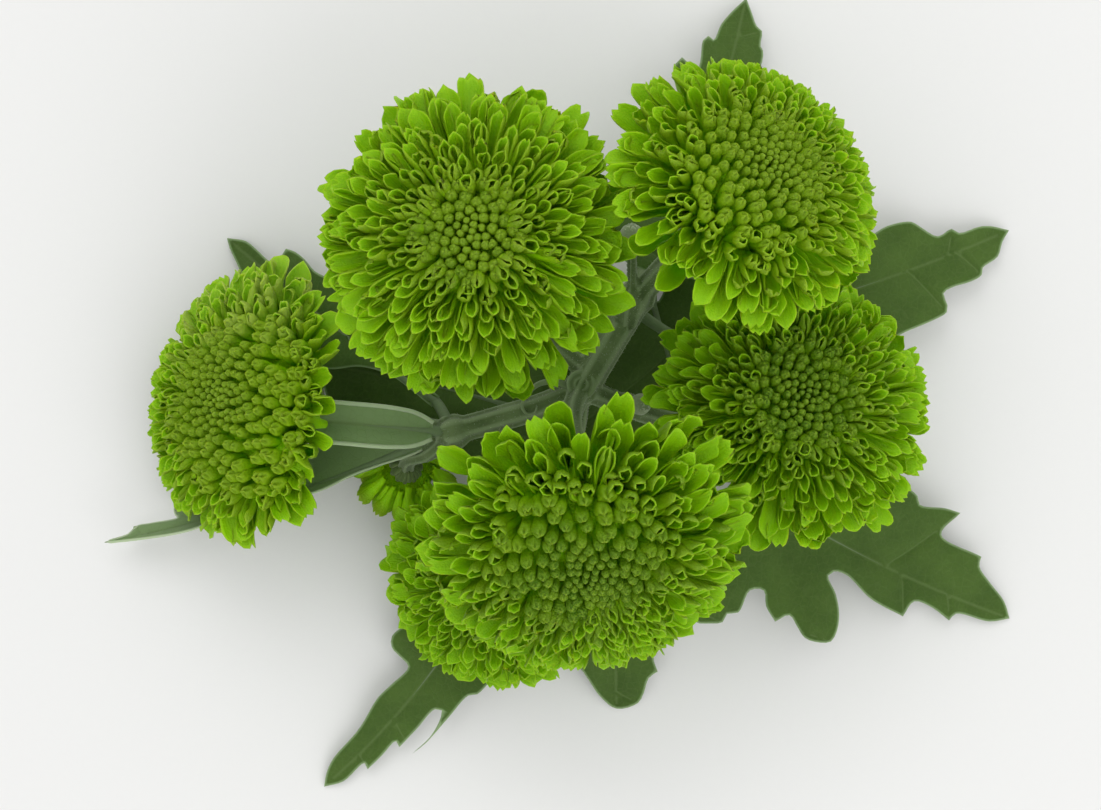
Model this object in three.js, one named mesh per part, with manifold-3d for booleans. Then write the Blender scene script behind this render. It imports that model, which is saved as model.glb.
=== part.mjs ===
import * as THREE from 'three';
import { mergeVertices } from 'three/addons/utils/BufferGeometryUtils.js';
import Module from 'manifold-3d';

const wasm = await Module();
wasm.setup();

// Pompon chrysanthemum: a cut spray of green button blooms, laid down on a surface.
// Millimetres, +Z up. The spray is seen from above with X to the right and Y away.
// Plan places are measured from sprayMiddle, and the floor is z = 0.

// Driving dimensions
const sprayMiddle = [1.3, 2];        // plan centre of the whole spray, put over the origin
const fit = 0.3;                     // gap between sub-parts that touch

// Blooms: centre of the rim, lean of the axis from upright, compass way it leans, and size.
// Florets of a bloom stop short of the blooms named in under, which lie over it.
const blooms = {
  a: { at: [-11, 23.5, 44], lean: 7, toward: 140, radius: 23.5, height: 14.5, florets: 58, under: ['b'] },
  b: { at: [26.8, 29.8, 45], lean: 32, toward: 45, radius: 22.5, height: 14.5, florets: 58, under: [] },
  c: { at: [-45, 0, 15.6], lean: 41, toward: 168, radius: 23, height: 13, florets: 58, under: ['a'] },
  d: { at: [4.9, -18.7, 45.5], lean: 38, toward: -85, radius: 24.4, height: 14.5, florets: 58, under: [] },
  e: { at: [36.4, -1.1, 28], lean: 15, toward: 51, radius: 21.9, height: 14, florets: 58, under: ['b', 'd'] },
  f: { at: [-7.9, -26.5, 16], lean: 22, toward: -133, radius: 18.4, height: 11, florets: 50, under: ['d'] },
  g: { at: [-24.2, -11.8, 7.8], lean: 160, toward: -120, radius: 8.5, height: 5, florets: 22, under: ['f'] },
};

// Florets stand in a spiral over the dome of each bloom. Pairs are at the bloom's centre and at its
// rim, and lengths and widths are parts of the bloom's radius.
const goldenTurn = Math.PI * (3 - Math.sqrt(5));
const floretRule = {
  spread: 0.62,                      // power that spaces the spiral out from the centre
  crowding: 1.35,                    // power that crowds it towards the rim
  length: [0.09, 0.38],
  width: [0.11, 0.25],
  thickness: 0.9,
  channel: 0.3,                      // rise of the edges, as a part of the half width
  rimAngle: 100,                     // degrees that a rim floret turns away from the bloom's axis
  curl: 26,                          // degrees that it bends outward from root to tip
  uneven: { reach: 0.05, turn: 0.05, droop: 6 },
  outerFrom: 0.42,                   // part of the radius where nubs give way to open florets
  nub: [[0, 0.85], [1, 0.5]],        // [part of the length, part of the width] of each section
  open: [[0, 0.5], [0.7, 1], [1, 0.4]],
  shortened: [1, 0.85, 0.7],         // lengths to try where another bloom lies over it
};
const dome = { fall: 2.6, roundness: 0.75, dimple: 0.1, dimpleReach: 0.35 };
const coreSides = 11;
const bloomRoom = 1;                 // space left round a bloom by the florets under it
const bloomBackSlope = 8;            // height over which a bloom's space narrows behind its rim

// Stem: three nodes where it branches, and one route for each branch.
const firstNode = [4.9, 2.6, 19];
const upperNode = [13.3, 16.6, 25];
const leftNode = [-15.2, -4.2, 20.5];
const cutEnd = [26, 41, 2.2];
const branches = [
  { radius: 2.5, route: [firstNode, [9, 9.5, 14.5], [14.5, 19, 8], [20, 29, 3.2], [23, 35, 2.2], cutEnd] },
  { radius: 2.4, route: [firstNode, [9.3, 10, 22], upperNode] },
  { radius: 1.8, route: [upperNode, [19, 22.5, 29.5]], bloom: 'b' },
  { radius: 1.6, route: [[6, 5, 19.5], [-1, 11, 20], [-8, 18, 25]], bloom: 'a' },
  { radius: 1.9, route: [firstNode, [-1, 0, 19.5], [-8.5, -2.3, 20], leftNode] },
  { radius: 1.6, route: [leftNode, [-24, -3, 13], [-31, -2.6, 6]], bloom: 'c' },
  { radius: 1.2, route: [leftNode, [-19, -7.5, 17.5]], bloom: 'g' },
  { radius: 1.7, route: [firstNode, [3.2, -1.5, 25], [3.8, -7.5, 32]], bloom: 'd' },
  { radius: 1.7, route: [firstNode, [13, -0.5, 15.5], [24, -3.5, 12.5], [31.5, -3.6, 13]], bloom: 'e' },
  { radius: 1.5, route: [firstNode, [3.5, -6, 13], [0, -14, 5.5], [-3.2, -20.5, 3.2]], bloom: 'f' },
  { radius: 0.8, route: [[12, 14, 24.5], [12.4, 19, 27]], bud: 'upper' },
  { radius: 0.9, route: [[9.5, 0.9, 16.8], [12, 1, 19]], bud: 'lower' },
];
const nodeSwelling = 2.9;            // radius of the stem where it branches
const stemSides = 7;
const stemStep = 7;                  // length of stem between two rings

const stalkStraight = 3;             // straight end of a flower stalk behind its cup
const leafStalkRadius = 1;
const leafStalkSides = 6;
const leafStalkReach = 0.16;         // part of the leaf that its stalk runs under

// Cup of bracts behind each bloom, as [radius, height] for a bloom of full size
const cupSize = 22;                  // bloom radius that the profile is drawn for
const cupBracts = 8;
const cupSwell = 0.07;               // how far each bract stands out, as a part of the radius
const cupTop = -3.5;
const cupFoot = -9;
const cupProfile = [
  [0, cupTop], [6.6, cupTop], [7.1, -4.4], [6.2, -6.3], [4.2, -8.1], [2, cupFoot], [0, cupFoot],
];

// Small closed buds
const buds = {
  upper: { at: [12.3, 25.4, 31], radius: 2.2 },
  lower: { at: [13.9, 0.1, 22.4], radius: 1.8 },
};

// Leaves. from is where the stalk leaves the stem, root where the blade begins and tip its far end, in plan.
// heights are [part of the length, z]. bow is the midrib's sideways swing, fold the rise of each half
// beside it, and roll the turn of the blade about it, which may grow from rollFrom at its root. left and
// right are the cut edges from the root to the tip, as distance from the root and distance from the
// straight root-to-tip line.
const rollReach = 0.45;               // part of the leaf over which its roll grows
const leafThickness = 0.7;
const ribParts = [0, 0.18, 0.36, 0.54, 0.72, 0.88, 1];
const leaves = {
  leaf_top: {
    from: upperNode, root: [17, 20], tip: [31.6, 65.7], bow: -1, fold: 0.12, roll: 0,
    heights: [[0, 19], [0.3, 12], [0.6, 6.5], [0.85, 2.6], [1, 0.6]],
    left: [
      [0, 1], [7, 1.1], [13, 2.6], [18, 5.6], [22, 8.2], [25, 7.6], [26, 5.2], [28.5, 6.3], [32, 8.2],
      [34, 7], [33.3, 5.4], [31.5, 4], [35.5, 4], [39, 4.6], [40, 4], [39.6, 3], [42.5, 2.6], [45, 1.6],
    ],
    right: [
      [0, -1], [6, -1.1], [11, -2.8], [15.5, -6.4], [18.5, -6.2], [21.5, -4.6], [24, -7.6], [27.5, -9],
      [30, -8], [31, -5], [33.5, -3.8], [35, -5], [38.5, -5.5], [40.4, -5.1], [41, -4.5], [43.5, -4],
      [44, -3], [46, -1.5],
    ],
  },
  leaf_right: {
    from: [12.5, 15.5, 10.4], root: [20, 11], tip: [74, 28.2], bow: -1.5, fold: 0.12, roll: 0,
    heights: [[0, 9], [0.3, 7.5], [0.6, 6], [0.85, 3], [1, 0.8]],
    left: [
      [0, 1], [9, 1.1], [15, 1.8], [19, 4.5], [22, 8], [25, 8.5], [26.5, 6], [28.5, 5], [31, 5],
      [33.5, 5.5], [37.5, 6.5], [41.5, 6], [42.5, 5], [45, 2.5], [47.5, 3], [48.5, 2], [52, 2], [54, 1.5],
    ],
    right: [
      [0, -1], [9, -1.1], [15, -2], [17.5, -5], [19.5, -9], [22.5, -9.5], [25, -6], [28.5, -5.5],
      [29, -9], [31, -11], [35, -10.5], [40.5, -10], [42.5, -9.5], [43, -8.5], [43, -6.5], [44.5, -6],
      [48, -6], [50, -5.5], [50.5, -4.5], [53.5, -3.5], [55, -1.5],
    ],
  },
  leaf_low_right: {
    from: [14.2, -0.8, 15.2], root: [17.5, -3.4], tip: [74.2, -34.5], bow: -2.6, fold: 0.1, roll: 0,
    heights: [[0, 13.4], [0.3, 8.5], [0.6, 4.6], [0.85, 1.6], [1, 0]],
    left: [
      [0, 1.2], [8, 1.4], [15, 2.5], [19, 7], [23, 11.5], [27, 13], [29, 10.5], [29.5, 7.5], [33, 8.5],
      [36, 10.3], [38.5, 10.5], [41.5, 10], [42.5, 9], [46.5, 10.5], [49, 11], [48, 6.5], [55.5, 6.5],
      [56, 5], [59, 3.5], [62.5, 2],
    ],
    right: [
      [0, -1.2], [8, -1.4], [15, -2.6], [20, -4.5], [22, -6.5], [19, -8.5], [16, -12], [15, -17],
      [16, -22], [19.5, -24.5], [22, -23.5], [23.5, -22.5], [23.5, -21], [25, -20], [25, -16],
      [27, -15], [28.5, -17], [31, -18.5], [32.5, -16.5], [34.5, -17.5], [36.5, -18.5], [39, -18],
      [40.5, -17], [40.5, -15], [39.5, -12.5], [37.5, -10], [35, -8], [35.5, -7], [37.5, -6.5],
      [43, -8], [49, -8], [49.5, -5], [52.5, -4.5], [56, -5], [56.5, -3.5], [62, -2],
    ],
  },
  leaf_bottom: {
    from: [3.9, -5, 14.2], root: [7.5, -8], tip: [10.7, -49.1], bow: 0.6, fold: 0.12, roll: 0,
    heights: [[0, 9.8], [0.3, 6], [0.6, 4.4], [0.85, 2], [1, 0]],
    left: [
      [0, 1], [8, 1.1], [13, 3], [17, 6.5], [20, 7], [22, 5], [25, 5.5], [29, 8.5], [31, 8],
      [33, 6.5], [35.5, 7], [36.5, 5.5], [39, 4.5], [40.5, 3.5],
    ],
    right: [
      [0, -1], [6, -1.1], [11, -2.2], [15, -5], [17, -8.5], [20, -9], [23, -5.5], [26, -5], [28, -7],
      [30.5, -9.8], [33, -9.5], [34, -5.5], [35.5, -4.5], [39, -2.5],
    ],
  },
  leaf_low_left: {
    from: [-1.6, -17.3, 4.1], root: [-5, -18.4], tip: [-36.6, -61.7], bow: 3, fold: 0.1, roll: 0,
    heights: [[0, 3.6], [0.3, 4.4], [0.6, 3.4], [0.85, 1.4], [1, 0]],
    left: [
      [0, 1], [8, 2.6], [13, 6], [17, 10.5], [20, 12], [23.5, 11.5], [26.5, 11], [27.5, 10], [32.5, 9.5],
      [38, 9], [40.5, 8.3], [36.5, 9], [33, 8.5], [32, 8], [32.5, 7], [37, 6.5], [41, 6], [40.5, 5],
      [44, 4.5], [47, 4], [46.5, 3], [51, 2],
    ],
    right: [
      [0, -1], [7, -1.5], [11, -5], [15, -8], [18, -7.5], [20, -4.5], [23, -4.5], [27, -5.5], [28.5, -4.5],
      [29, -2.5], [29.5, -0.5], [33.5, -1], [36.5, -1.5], [42.5, -1], [49, -1.5], [51.5, -1],
    ],
  },
  leaf_left: {
    from: leftNode, root: [-20.5, -7.8], tip: [-71.4, -21.8], bow: 1.2, fold: 0.1, roll: 62, rollFrom: 10,
    heights: [[0, 17], [0.25, 13.2], [0.5, 9.4], [0.75, 6.6], [1, 4]],
    left: [
      [0, 1], [3, 2], [8, 2.8], [13, 3.6], [18, 6], [21, 4.4], [25, 4.6], [29, 6.5], [33, 6], [35, 3.6],
      [39, 3.8], [42, 3.4], [46, 2.4], [50, 1.2],
    ],
    right: [
      [0, -1], [3, -1.8], [8, -2.6], [14, -3.2], [18, -5.4], [21, -4], [25, -5], [31, -6.5], [35, -6.4],
      [40, -6.6], [41, -3], [40.5, -1.2], [44, -1.6], [48, -2.2], [48.5, -0.6],
    ],
  },
  leaf_top_left: {
    from: leftNode, root: [-18, 0.5], tip: [-52.3, 27], bow: 0.6, fold: 0.12, roll: 0,
    heights: [[0, 14.5], [0.3, 9], [0.6, 4.6], [0.85, 1.6], [1, 0]],
    left: [
      [0, 1], [8, 1.1], [13, 3], [17, 6.5], [21, 7.5], [23, 5.5], [25, 4.2], [28, 6], [32, 6.5],
      [35, 4.5], [38, 3], [40, 2], [42, 1],
    ],
    right: [
      [0, -1], [9, -1.3], [13, -4], [16, -7], [20, -7], [23, -4.2], [25, -5], [28.5, -4.5], [31, -5],
      [33, -5], [34.5, -4.5], [34.5, -1.5], [38.5, -1.5], [40.5, -1.5],
    ],
  },
  leaf_under_left: {
    from: [4.2, -2.2, 16], root: [1.5, -2.5], tip: [-37, 6.5], bow: -0.8, fold: 0.1, roll: 0,
    heights: [[0, 12.4], [0.3, 7.6], [0.6, 4], [0.85, 1.8], [1, 0.8]],
    left: [
      [0, 1], [-0.6, 5], [0.6, 9.4], [3.5, 11.4], [7, 11], [11, 10.8], [15, 10.6], [18, 8.8], [19.4, 5.6],
      [23, 5.4], [26, 6.4], [29.5, 7.2], [33, 6.4], [34.6, 3.8], [37, 1.6],
    ],
    right: [
      [0, -1], [-0.8, -5], [0.2, -9.6], [3, -12.4], [7, -12.8], [11, -11.6], [14, -10.6], [16, -7.4],
      [19, -7.6], [23, -9], [27.5, -8.6], [30, -7], [31, -4.6], [34, -4.2], [37, -1.8],
    ],
  },
  leaf_under_right: {
    from: [16.4, 22.4, 4.6], root: [16.4, 16.5], tip: [23.5, -17], bow: 0.8, fold: 0.1, roll: 0,
    heights: [[0, 3.6], [0.3, 3.4], [0.6, 2.6], [0.85, 1.4], [1, 0.6]],
    left: [
      [0, 1], [-2.6, 3.6], [-2.4, 7.4], [1.5, 9.4], [6, 9.6], [10, 9.6], [13, 9], [14, 6], [17, 6.8],
      [21, 8.6], [24, 8], [25.5, 4.6], [28, 4.4], [32, 2],
    ],
    right: [
      [0, -1], [-2, -4], [-2.6, -9], [0.2, -12.6], [4.5, -13.6], [9, -14], [13, -15], [16.5, -15.2],
      [18.6, -12], [20, -8.6], [23, -9], [25, -7.6], [26, -4.6], [29, -3.8], [32, -1.6],
    ],
  },
  leaf_channelled: {
    from: leftNode, root: [-18.2, -4, 22], tip: [-32.4, -2.6], bow: 0, fold: 0.42, roll: 0,
    heights: [[0, 22.4], [0.5, 23], [1, 22.6]],
    left: [[0, 1.3], [2.5, 2.5], [6, 3], [11, 3.1], [13.2, 2.6], [14, 1.6]],
    right: [[0, -1.3], [2.5, -2.5], [6, -3], [11, -3.1], [13.2, -2.6], [14, -1.6]],
  },
};

// Materials
const floretGreen = new THREE.MeshStandardMaterial({ color: 0x7fa61c, roughness: 0.62 });
const bractGreen = new THREE.MeshStandardMaterial({ color: 0x6f8a3c, roughness: 0.75 });
const stemGreen = new THREE.MeshStandardMaterial({ color: 0x5d6f4a, roughness: 0.8 });
const leafGreen = new THREE.MeshStandardMaterial({ color: 0x55703f, roughness: 0.78 });
leafGreen.side = THREE.DoubleSide;

// A repeatable draw between -1 and 1
function seededDraw(seed) {
  let state = seed;
  return () => {
    state = (state * 1664525 + 1013904223) % 4294967296;
    return state / 2147483648 - 1;
  };
}

function solidFrom(geometry) {
  const bare = geometry.clone();
  bare.deleteAttribute('normal');
  bare.deleteAttribute('uv');
  const merged = mergeVertices(bare, 1e-4);
  return new wasm.Manifold(new wasm.Mesh({
    numProp: 3,
    vertProperties: new Float32Array(merged.attributes.position.array),
    triVerts: new Uint32Array(merged.index.array),
  }));
}

function geometryFrom(solid) {
  const { vertProperties, triVerts } = solid.getMesh();
  const geometry = new THREE.BufferGeometry();
  geometry.setAttribute('position', new THREE.BufferAttribute(vertProperties, 3));
  geometry.setIndex(new THREE.BufferAttribute(triVerts, 1));
  geometry.computeVertexNormals();
  return geometry;
}

// The body that is left when small loose scraps of a cut are dropped
function mainBody(solid) {
  return solid.decompose().reduce((best, body) => (body.volume() > best.volume() ? body : best));
}

// Skin over a row of equal rings, each counter-clockwise about the way the row runs
function loft(rings) {
  const sides = rings[0].length;
  const last = (rings.length - 1) * sides;
  const faces = [];
  for (let start = 0; start < last; start += sides) {
    for (let k = 0; k < sides; k++) {
      const next = (k + 1) % sides;
      faces.push(start + k, start + next, start + sides + next);
      faces.push(start + k, start + sides + next, start + sides + k);
    }
  }
  for (let k = 1; k + 1 < sides; k++) {
    faces.push(0, k + 1, k);
    faces.push(last, last + k, last + k + 1);
  }
  const geometry = new THREE.BufferGeometry().setFromPoints(rings.flat());
  geometry.setIndex(faces);
  return geometry;
}

// The bloom's own frame: origin in the middle of its rim, +Z along its axis
function bloomMatrix({ at, lean, toward }) {
  const tilt = THREE.MathUtils.degToRad(lean);
  const heading = THREE.MathUtils.degToRad(toward);
  const sideways = new THREE.Vector3(-Math.sin(heading), Math.cos(heading), 0);
  const turn = new THREE.Quaternion().setFromAxisAngle(sideways, tilt);
  return new THREE.Matrix4().compose(new THREE.Vector3(...at), turn, new THREE.Vector3(1, 1, 1));
}

// How high the floret tips stand at a given part of the radius: a dome with a shallow dimple
function domeHeight(height, reach) {
  const dimple = dome.dimple * Math.max(0, 1 - (reach / dome.dimpleReach) ** 2);
  return height * (Math.max(0, 1 - reach ** dome.fall) ** dome.roundness - dimple);
}

// A value between that at a bloom's centre and that at its rim
function blend([centre, rim], reach) {
  return centre + (rim - centre) * reach;
}

// The dense heart of the head, which the florets stand out of
function bloomCore({ radius, height }) {
  const foot = (cupTop * radius) / cupSize;
  const profile = [
    [0, foot], [0.33 * radius, foot], [0.71 * radius, -0.1 * height], [0.73 * radius, 0.22 * height],
    [0.55 * radius, 0.59 * height], [0.3 * radius, 0.77 * height], [0, 0.77 * height],
  ];
  const outline = profile.map(([r, z]) => new THREE.Vector2(r, z));
  return solidFrom(new THREE.LatheGeometry(outline, coreSides).rotateX(Math.PI / 2));
}

// One floret as a channelled blade from inside the heart to its tip, in the bloom's frame
function floret({ radius, height, reach, turn, droop, length }) {
  const outward = new THREE.Vector3(Math.cos(turn), Math.sin(turn), 0);
  const across = new THREE.Vector3(-Math.sin(turn), Math.cos(turn), 0);
  const halfLength = 0.5 * radius * blend(floretRule.length, reach);
  const tipAngle = THREE.MathUtils.degToRad(floretRule.rimAngle * reach ** 0.9 + droop);
  const rootAngle = tipAngle - THREE.MathUtils.degToRad(floretRule.curl);
  const back = (point, angle) => point.clone()
    .addScaledVector(outward, -halfLength * Math.sin(angle))
    .add(new THREE.Vector3(0, 0, -halfLength * Math.cos(angle)));
  const tip = outward.clone().multiplyScalar(radius * reach).setZ(domeHeight(height, Math.min(reach, 1)));
  const middle = back(tip, tipAngle);
  const spine = new THREE.QuadraticBezierCurve3(back(middle, rootAngle), middle, tip);
  const stations = reach > floretRule.outerFrom ? floretRule.open : floretRule.nub;
  return stations.map(([part, share]) => {
    const above = spine.getTangent(part * length).cross(across);
    const half = 0.5 * radius * blend(floretRule.width, reach) * share;
    const depth = floretRule.thickness * Math.max(share, 0.7);
    const section = [[-half, floretRule.channel * half], [0, -depth], [half, floretRule.channel * half]];
    const centre = spine.getPoint(part * length);
    return section.map(([x, y]) => centre.clone().addScaledVector(across, x).addScaledVector(above, y));
  });
}

// Whether a point lies in the space of another bloom, with a little room round it
function insideBloom(point, bloom) {
  const local = point.clone().applyMatrix4(bloomMatrix(bloom).invert());
  const out = Math.hypot(local.x, local.y) / (bloom.radius + bloomRoom);
  if (local.z >= 0) {
    return out ** 2 + (local.z / (bloom.height + bloomRoom)) ** 2 < 1;
  }
  return out < 1 + local.z / bloomBackSlope;
}

// Florets in a golden-angle spiral over the dome, shortened or left out under other blooms
function bloomSolid(key) {
  const bloom = blooms[key];
  const matrix = bloomMatrix(bloom);
  const draw = seededDraw(key.charCodeAt(0));
  const { uneven } = floretRule;
  const over = bloom.under.map((name) => blooms[name]);
  const isClear = (point) => !over.some((other) => insideBloom(point.clone().applyMatrix4(matrix), other));
  const solids = [bloomCore(bloom)];
  for (let i = 0; i < bloom.florets; i++) {
    const share = ((i + 0.5) / bloom.florets) ** floretRule.spread;
    const reach = 1 - (1 - share) ** floretRule.crowding;
    const place = {
      ...bloom,
      reach: reach * (1 + uneven.reach * reach * draw()),
      turn: i * goldenTurn + uneven.turn * draw(),
      droop: uneven.droop * draw(),
    };
    const blade = floretRule.shortened.map((length) => floret({ ...place, length }))
      .find((rings) => rings.slice(-2).every((ring) => isClear(ring[0])));
    if (blade) {
      solids.push(solidFrom(loft(blade)));
    }
  }
  return wasm.Manifold.union(solids);
}

// A solid in a bloom's own frame, cut level with the floor
function cutAtFloor(solid, matrix) {
  const depth = 60;
  const slab = new THREE.BoxGeometry(400, 400, depth).translate(0, 0, -depth / 2);
  return solid.subtract(solidFrom(slab.applyMatrix4(matrix.clone().invert())));
}

// Cup of overlapping bracts: a turned bowl whose edge swells at each bract
function cupSolid({ radius }) {
  const scale = radius / cupSize;
  const outline = [...cupProfile].reverse().map(([r, z]) => new THREE.Vector2(r * scale, z * scale));
  const lathe = new THREE.LatheGeometry(outline, 2 * cupBracts).rotateX(Math.PI / 2).translate(0, 0, -fit);
  const position = lathe.attributes.position;
  for (let i = 0; i < position.count; i++) {
    const point = new THREE.Vector3().fromBufferAttribute(position, i);
    const swell = 1 + cupSwell * Math.cos(cupBracts * Math.atan2(point.y, point.x));
    position.setXY(i, point.x * swell, point.y * swell);
  }
  return solidFrom(lathe);
}

// A place on the bloom's axis, a given way behind the foot of its cup
function behindCup(bloom, distance) {
  const depth = (-cupFoot * bloom.radius) / cupSize + fit + distance;
  return new THREE.Vector3(0, 0, -depth).applyMatrix4(bloomMatrix(bloom));
}

// Where a bud's stalk ends, just clear of the bud
function behindBud({ at, radius }, from) {
  const centre = new THREE.Vector3(...at);
  return centre.clone().addScaledVector(centre.clone().sub(from).normalize(), -(radius + fit));
}

// An even-sided outline for a tube
function polygon(radius, sides) {
  const corners = Array.from({ length: sides }, (_, k) => (2 * Math.PI * (k + 0.5)) / sides);
  return new THREE.Shape(corners.map((a) => new THREE.Vector2(radius * Math.cos(a), radius * Math.sin(a))));
}

function branchSolid({ radius, route, bloom, bud }, swell) {
  const points = route.map((place) => new THREE.Vector3(...place));
  if (bloom) {
    points.push(behindCup(blooms[bloom], stalkStraight), behindCup(blooms[bloom], fit));
  }
  if (bud) {
    points.push(behindBud(buds[bud], points[points.length - 1]));
  }
  const curve = new THREE.CatmullRomCurve3(points);
  const section = polygon(radius + swell, stemSides);
  const steps = Math.max(2, Math.ceil(curve.getLength() / stemStep));
  return solidFrom(new THREE.ExtrudeGeometry(section, { steps, extrudePath: curve }));
}

// The whole branching stem; swell fattens it to cut a clear seat in what grows on it
function stemSolid(swell) {
  const nodes = [firstNode, upperNode, leftNode].map((place) => {
    const ball = new THREE.SphereGeometry(nodeSwelling + swell, stemSides, 5).rotateX(Math.PI / 2);
    return solidFrom(ball.translate(...place));
  });
  return wasm.Manifold.union([...nodes, ...branches.map((branch) => branchSolid(branch, swell))]);
}

// Places a flat blade along its bent midrib
function leafBend({ root, tip, bow, fold, roll, rollFrom = roll, heights }) {
  const start = new THREE.Vector2(root[0], root[1]);
  const run = new THREE.Vector2(...tip).sub(start);
  const length = run.length();
  const heading = run.angle();
  const profile = new THREE.SplineCurve(heights.map((pair) => new THREE.Vector2(...pair)));
  const left = [-Math.sin(heading), Math.cos(heading)];
  const midrib = (u) => 4 * bow * (u / length) * (1 - u / length);
  const heightAt = (u) => profile.getPoint(profileParameter(heights, u / length)).y;
  const place = (u, v, rise) => {
    const side = v - midrib(u);
    const grown = THREE.MathUtils.smoothstep(u / length, 0, rollReach);
    const turn = THREE.MathUtils.degToRad(rollFrom + (roll - rollFrom) * grown);
    const lift = rise + fold * Math.abs(side);
    const level = midrib(u) + side * Math.cos(turn) - lift * Math.sin(turn);
    const z = heightAt(u) + side * Math.sin(turn) + lift * Math.cos(turn);
    const x = start.x + u * Math.cos(heading) + level * left[0];
    const y = start.y + u * Math.sin(heading) + level * left[1];
    return new THREE.Vector3(x, y, Math.max(z, rise * Math.cos(turn)));
  };
  return { length, midrib, place };
}

// Spline parameter at which a list of [part, height] pairs reaches a given part
function profileParameter(heights, part) {
  const last = heights.length - 1;
  const clamped = Math.min(Math.max(part, 0), 1);
  const after = Math.max(1, heights.findIndex(([place]) => place >= clamped));
  const [from, to] = [heights[after - 1][0], heights[after][0]];
  return (after - 1 + (clamped - from) / (to - from)) / last;
}

// Blade in two halves that meet along the midrib, on a stalk that grows from the stem
function leafSolid(leaf, stemClear) {
  const { length, midrib, place } = leafBend(leaf);
  const rib = ribParts.map((part) => [part * length, midrib(part * length)]);
  const halves = [leaf.left, leaf.right].map((edge) => {
    const outline = [...rib, ...[...edge].reverse()].map(([u, v]) => new THREE.Vector2(u, v));
    const shape = new THREE.Shape(outline);
    const blade = new THREE.ExtrudeGeometry(shape, { depth: leafThickness, bevelEnabled: false });
    const position = blade.attributes.position;
    for (let i = 0; i < position.count; i++) {
      const point = place(position.getX(i), position.getY(i), position.getZ(i));
      position.setXYZ(i, point.x, point.y, point.z);
    }
    return solidFrom(blade);
  });
  const stalkEnd = leafStalkReach * length;
  const stalkParts = [0, stalkEnd / 2, stalkEnd];
  const stalkRoute = new THREE.CatmullRomCurve3([
    new THREE.Vector3(...leaf.from),
    ...stalkParts.map((u) => place(u, midrib(u), 0.1)),
  ]);
  const stalkSection = polygon(leafStalkRadius, leafStalkSides);
  const stalk = solidFrom(new THREE.ExtrudeGeometry(stalkSection, { steps: 4, extrudePath: stalkRoute }));
  return mainBody(wasm.Manifold.union([...halves, stalk]).subtract(stemClear));
}

function budSolid({ at, radius }) {
  return solidFrom(new THREE.SphereGeometry(radius, 8, 6).rotateX(Math.PI / 2).translate(...at));
}

function addMesh(group, name, solid, material, matrix = new THREE.Matrix4()) {
  const mesh = new THREE.Mesh(geometryFrom(solid), material);
  mesh.name = name;
  mesh.applyMatrix4(matrix);
  group.add(mesh);
}

const spray = new THREE.Group();
spray.position.set(-sprayMiddle[0], -sprayMiddle[1], 0);

const identity = new THREE.Matrix4();
const stemClear = stemSolid(fit);
addMesh(spray, 'stem', cutAtFloor(stemSolid(0), identity), stemGreen);
for (const key of Object.keys(blooms)) {
  const matrix = bloomMatrix(blooms[key]);
  const stalk = stemClear.transform(matrix.clone().invert().elements);
  const cup = mainBody(cupSolid(blooms[key]).subtract(stalk));
  const head = mainBody(cutAtFloor(bloomSolid(key), matrix));
  addMesh(spray, `bract_cup_${key}`, cup, bractGreen, matrix);
  addMesh(spray, `bloom_${key}`, head, floretGreen, matrix);
}
for (const [name, leaf] of Object.entries(leaves)) {
  addMesh(spray, name, leafSolid(leaf, stemClear), leafGreen);
}
for (const [name, bud] of Object.entries(buds)) {
  addMesh(spray, `bud_${name}`, budSolid(bud), bractGreen);
}

const part = new THREE.Group();
part.add(spray);

export default part;
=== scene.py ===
import math

import bpy
import numpy as np
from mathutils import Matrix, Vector, geometry, kdtree


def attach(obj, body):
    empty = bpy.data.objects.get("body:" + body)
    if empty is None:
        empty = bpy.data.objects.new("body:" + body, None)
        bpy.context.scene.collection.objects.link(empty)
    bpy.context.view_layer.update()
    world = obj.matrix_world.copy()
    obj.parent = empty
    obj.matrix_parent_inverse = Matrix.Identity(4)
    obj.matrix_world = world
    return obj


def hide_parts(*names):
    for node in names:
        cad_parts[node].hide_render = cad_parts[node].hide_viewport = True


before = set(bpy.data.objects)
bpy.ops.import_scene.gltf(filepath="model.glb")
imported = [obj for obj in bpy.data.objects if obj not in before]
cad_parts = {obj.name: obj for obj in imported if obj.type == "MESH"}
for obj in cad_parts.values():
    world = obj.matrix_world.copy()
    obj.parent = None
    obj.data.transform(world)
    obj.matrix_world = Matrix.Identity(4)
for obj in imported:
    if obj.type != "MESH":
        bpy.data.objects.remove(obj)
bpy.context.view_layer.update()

print("frame loaded with", len(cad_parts), "solids")

# Places are in millimetres: plan places from the middle of the flower stalks, heights from the surface.
millimetre = 0.001
sprayMiddle = np.array([1.3, 2.0, 0.0])     # the row frame's origin
goldenTurn = math.pi * (3 - math.sqrt(5))
floorSkin = 0.05                            # how far any piece stays above the surface


def smooth(value):
    value = np.clip(value, 0, 1)
    return value * value * (3 - 2 * value)


def unit(vectors):
    vectors = np.asarray(vectors, float)
    return vectors / np.maximum(np.linalg.norm(vectors, axis=-1, keepdims=True), 1e-9)


def newObject(name, data):
    made = bpy.data.objects.new(name, data)
    bpy.context.scene.collection.objects.link(made)
    return made


def newParts():
    return {"points": [], "faces": [], "count": 0, "looks": {}}


# faces is a list of index arrays, and looks are the values that a material reads at each point
def addPart(parts, points, faces, **looks):
    for block in faces:
        parts["faces"].extend((np.asarray(block) + parts["count"]).tolist())
    parts["points"].append(points)
    for key, values in looks.items():
        parts["looks"].setdefault(key, []).append(np.broadcast_to(values, len(points)))
    parts["count"] += len(points)


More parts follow.
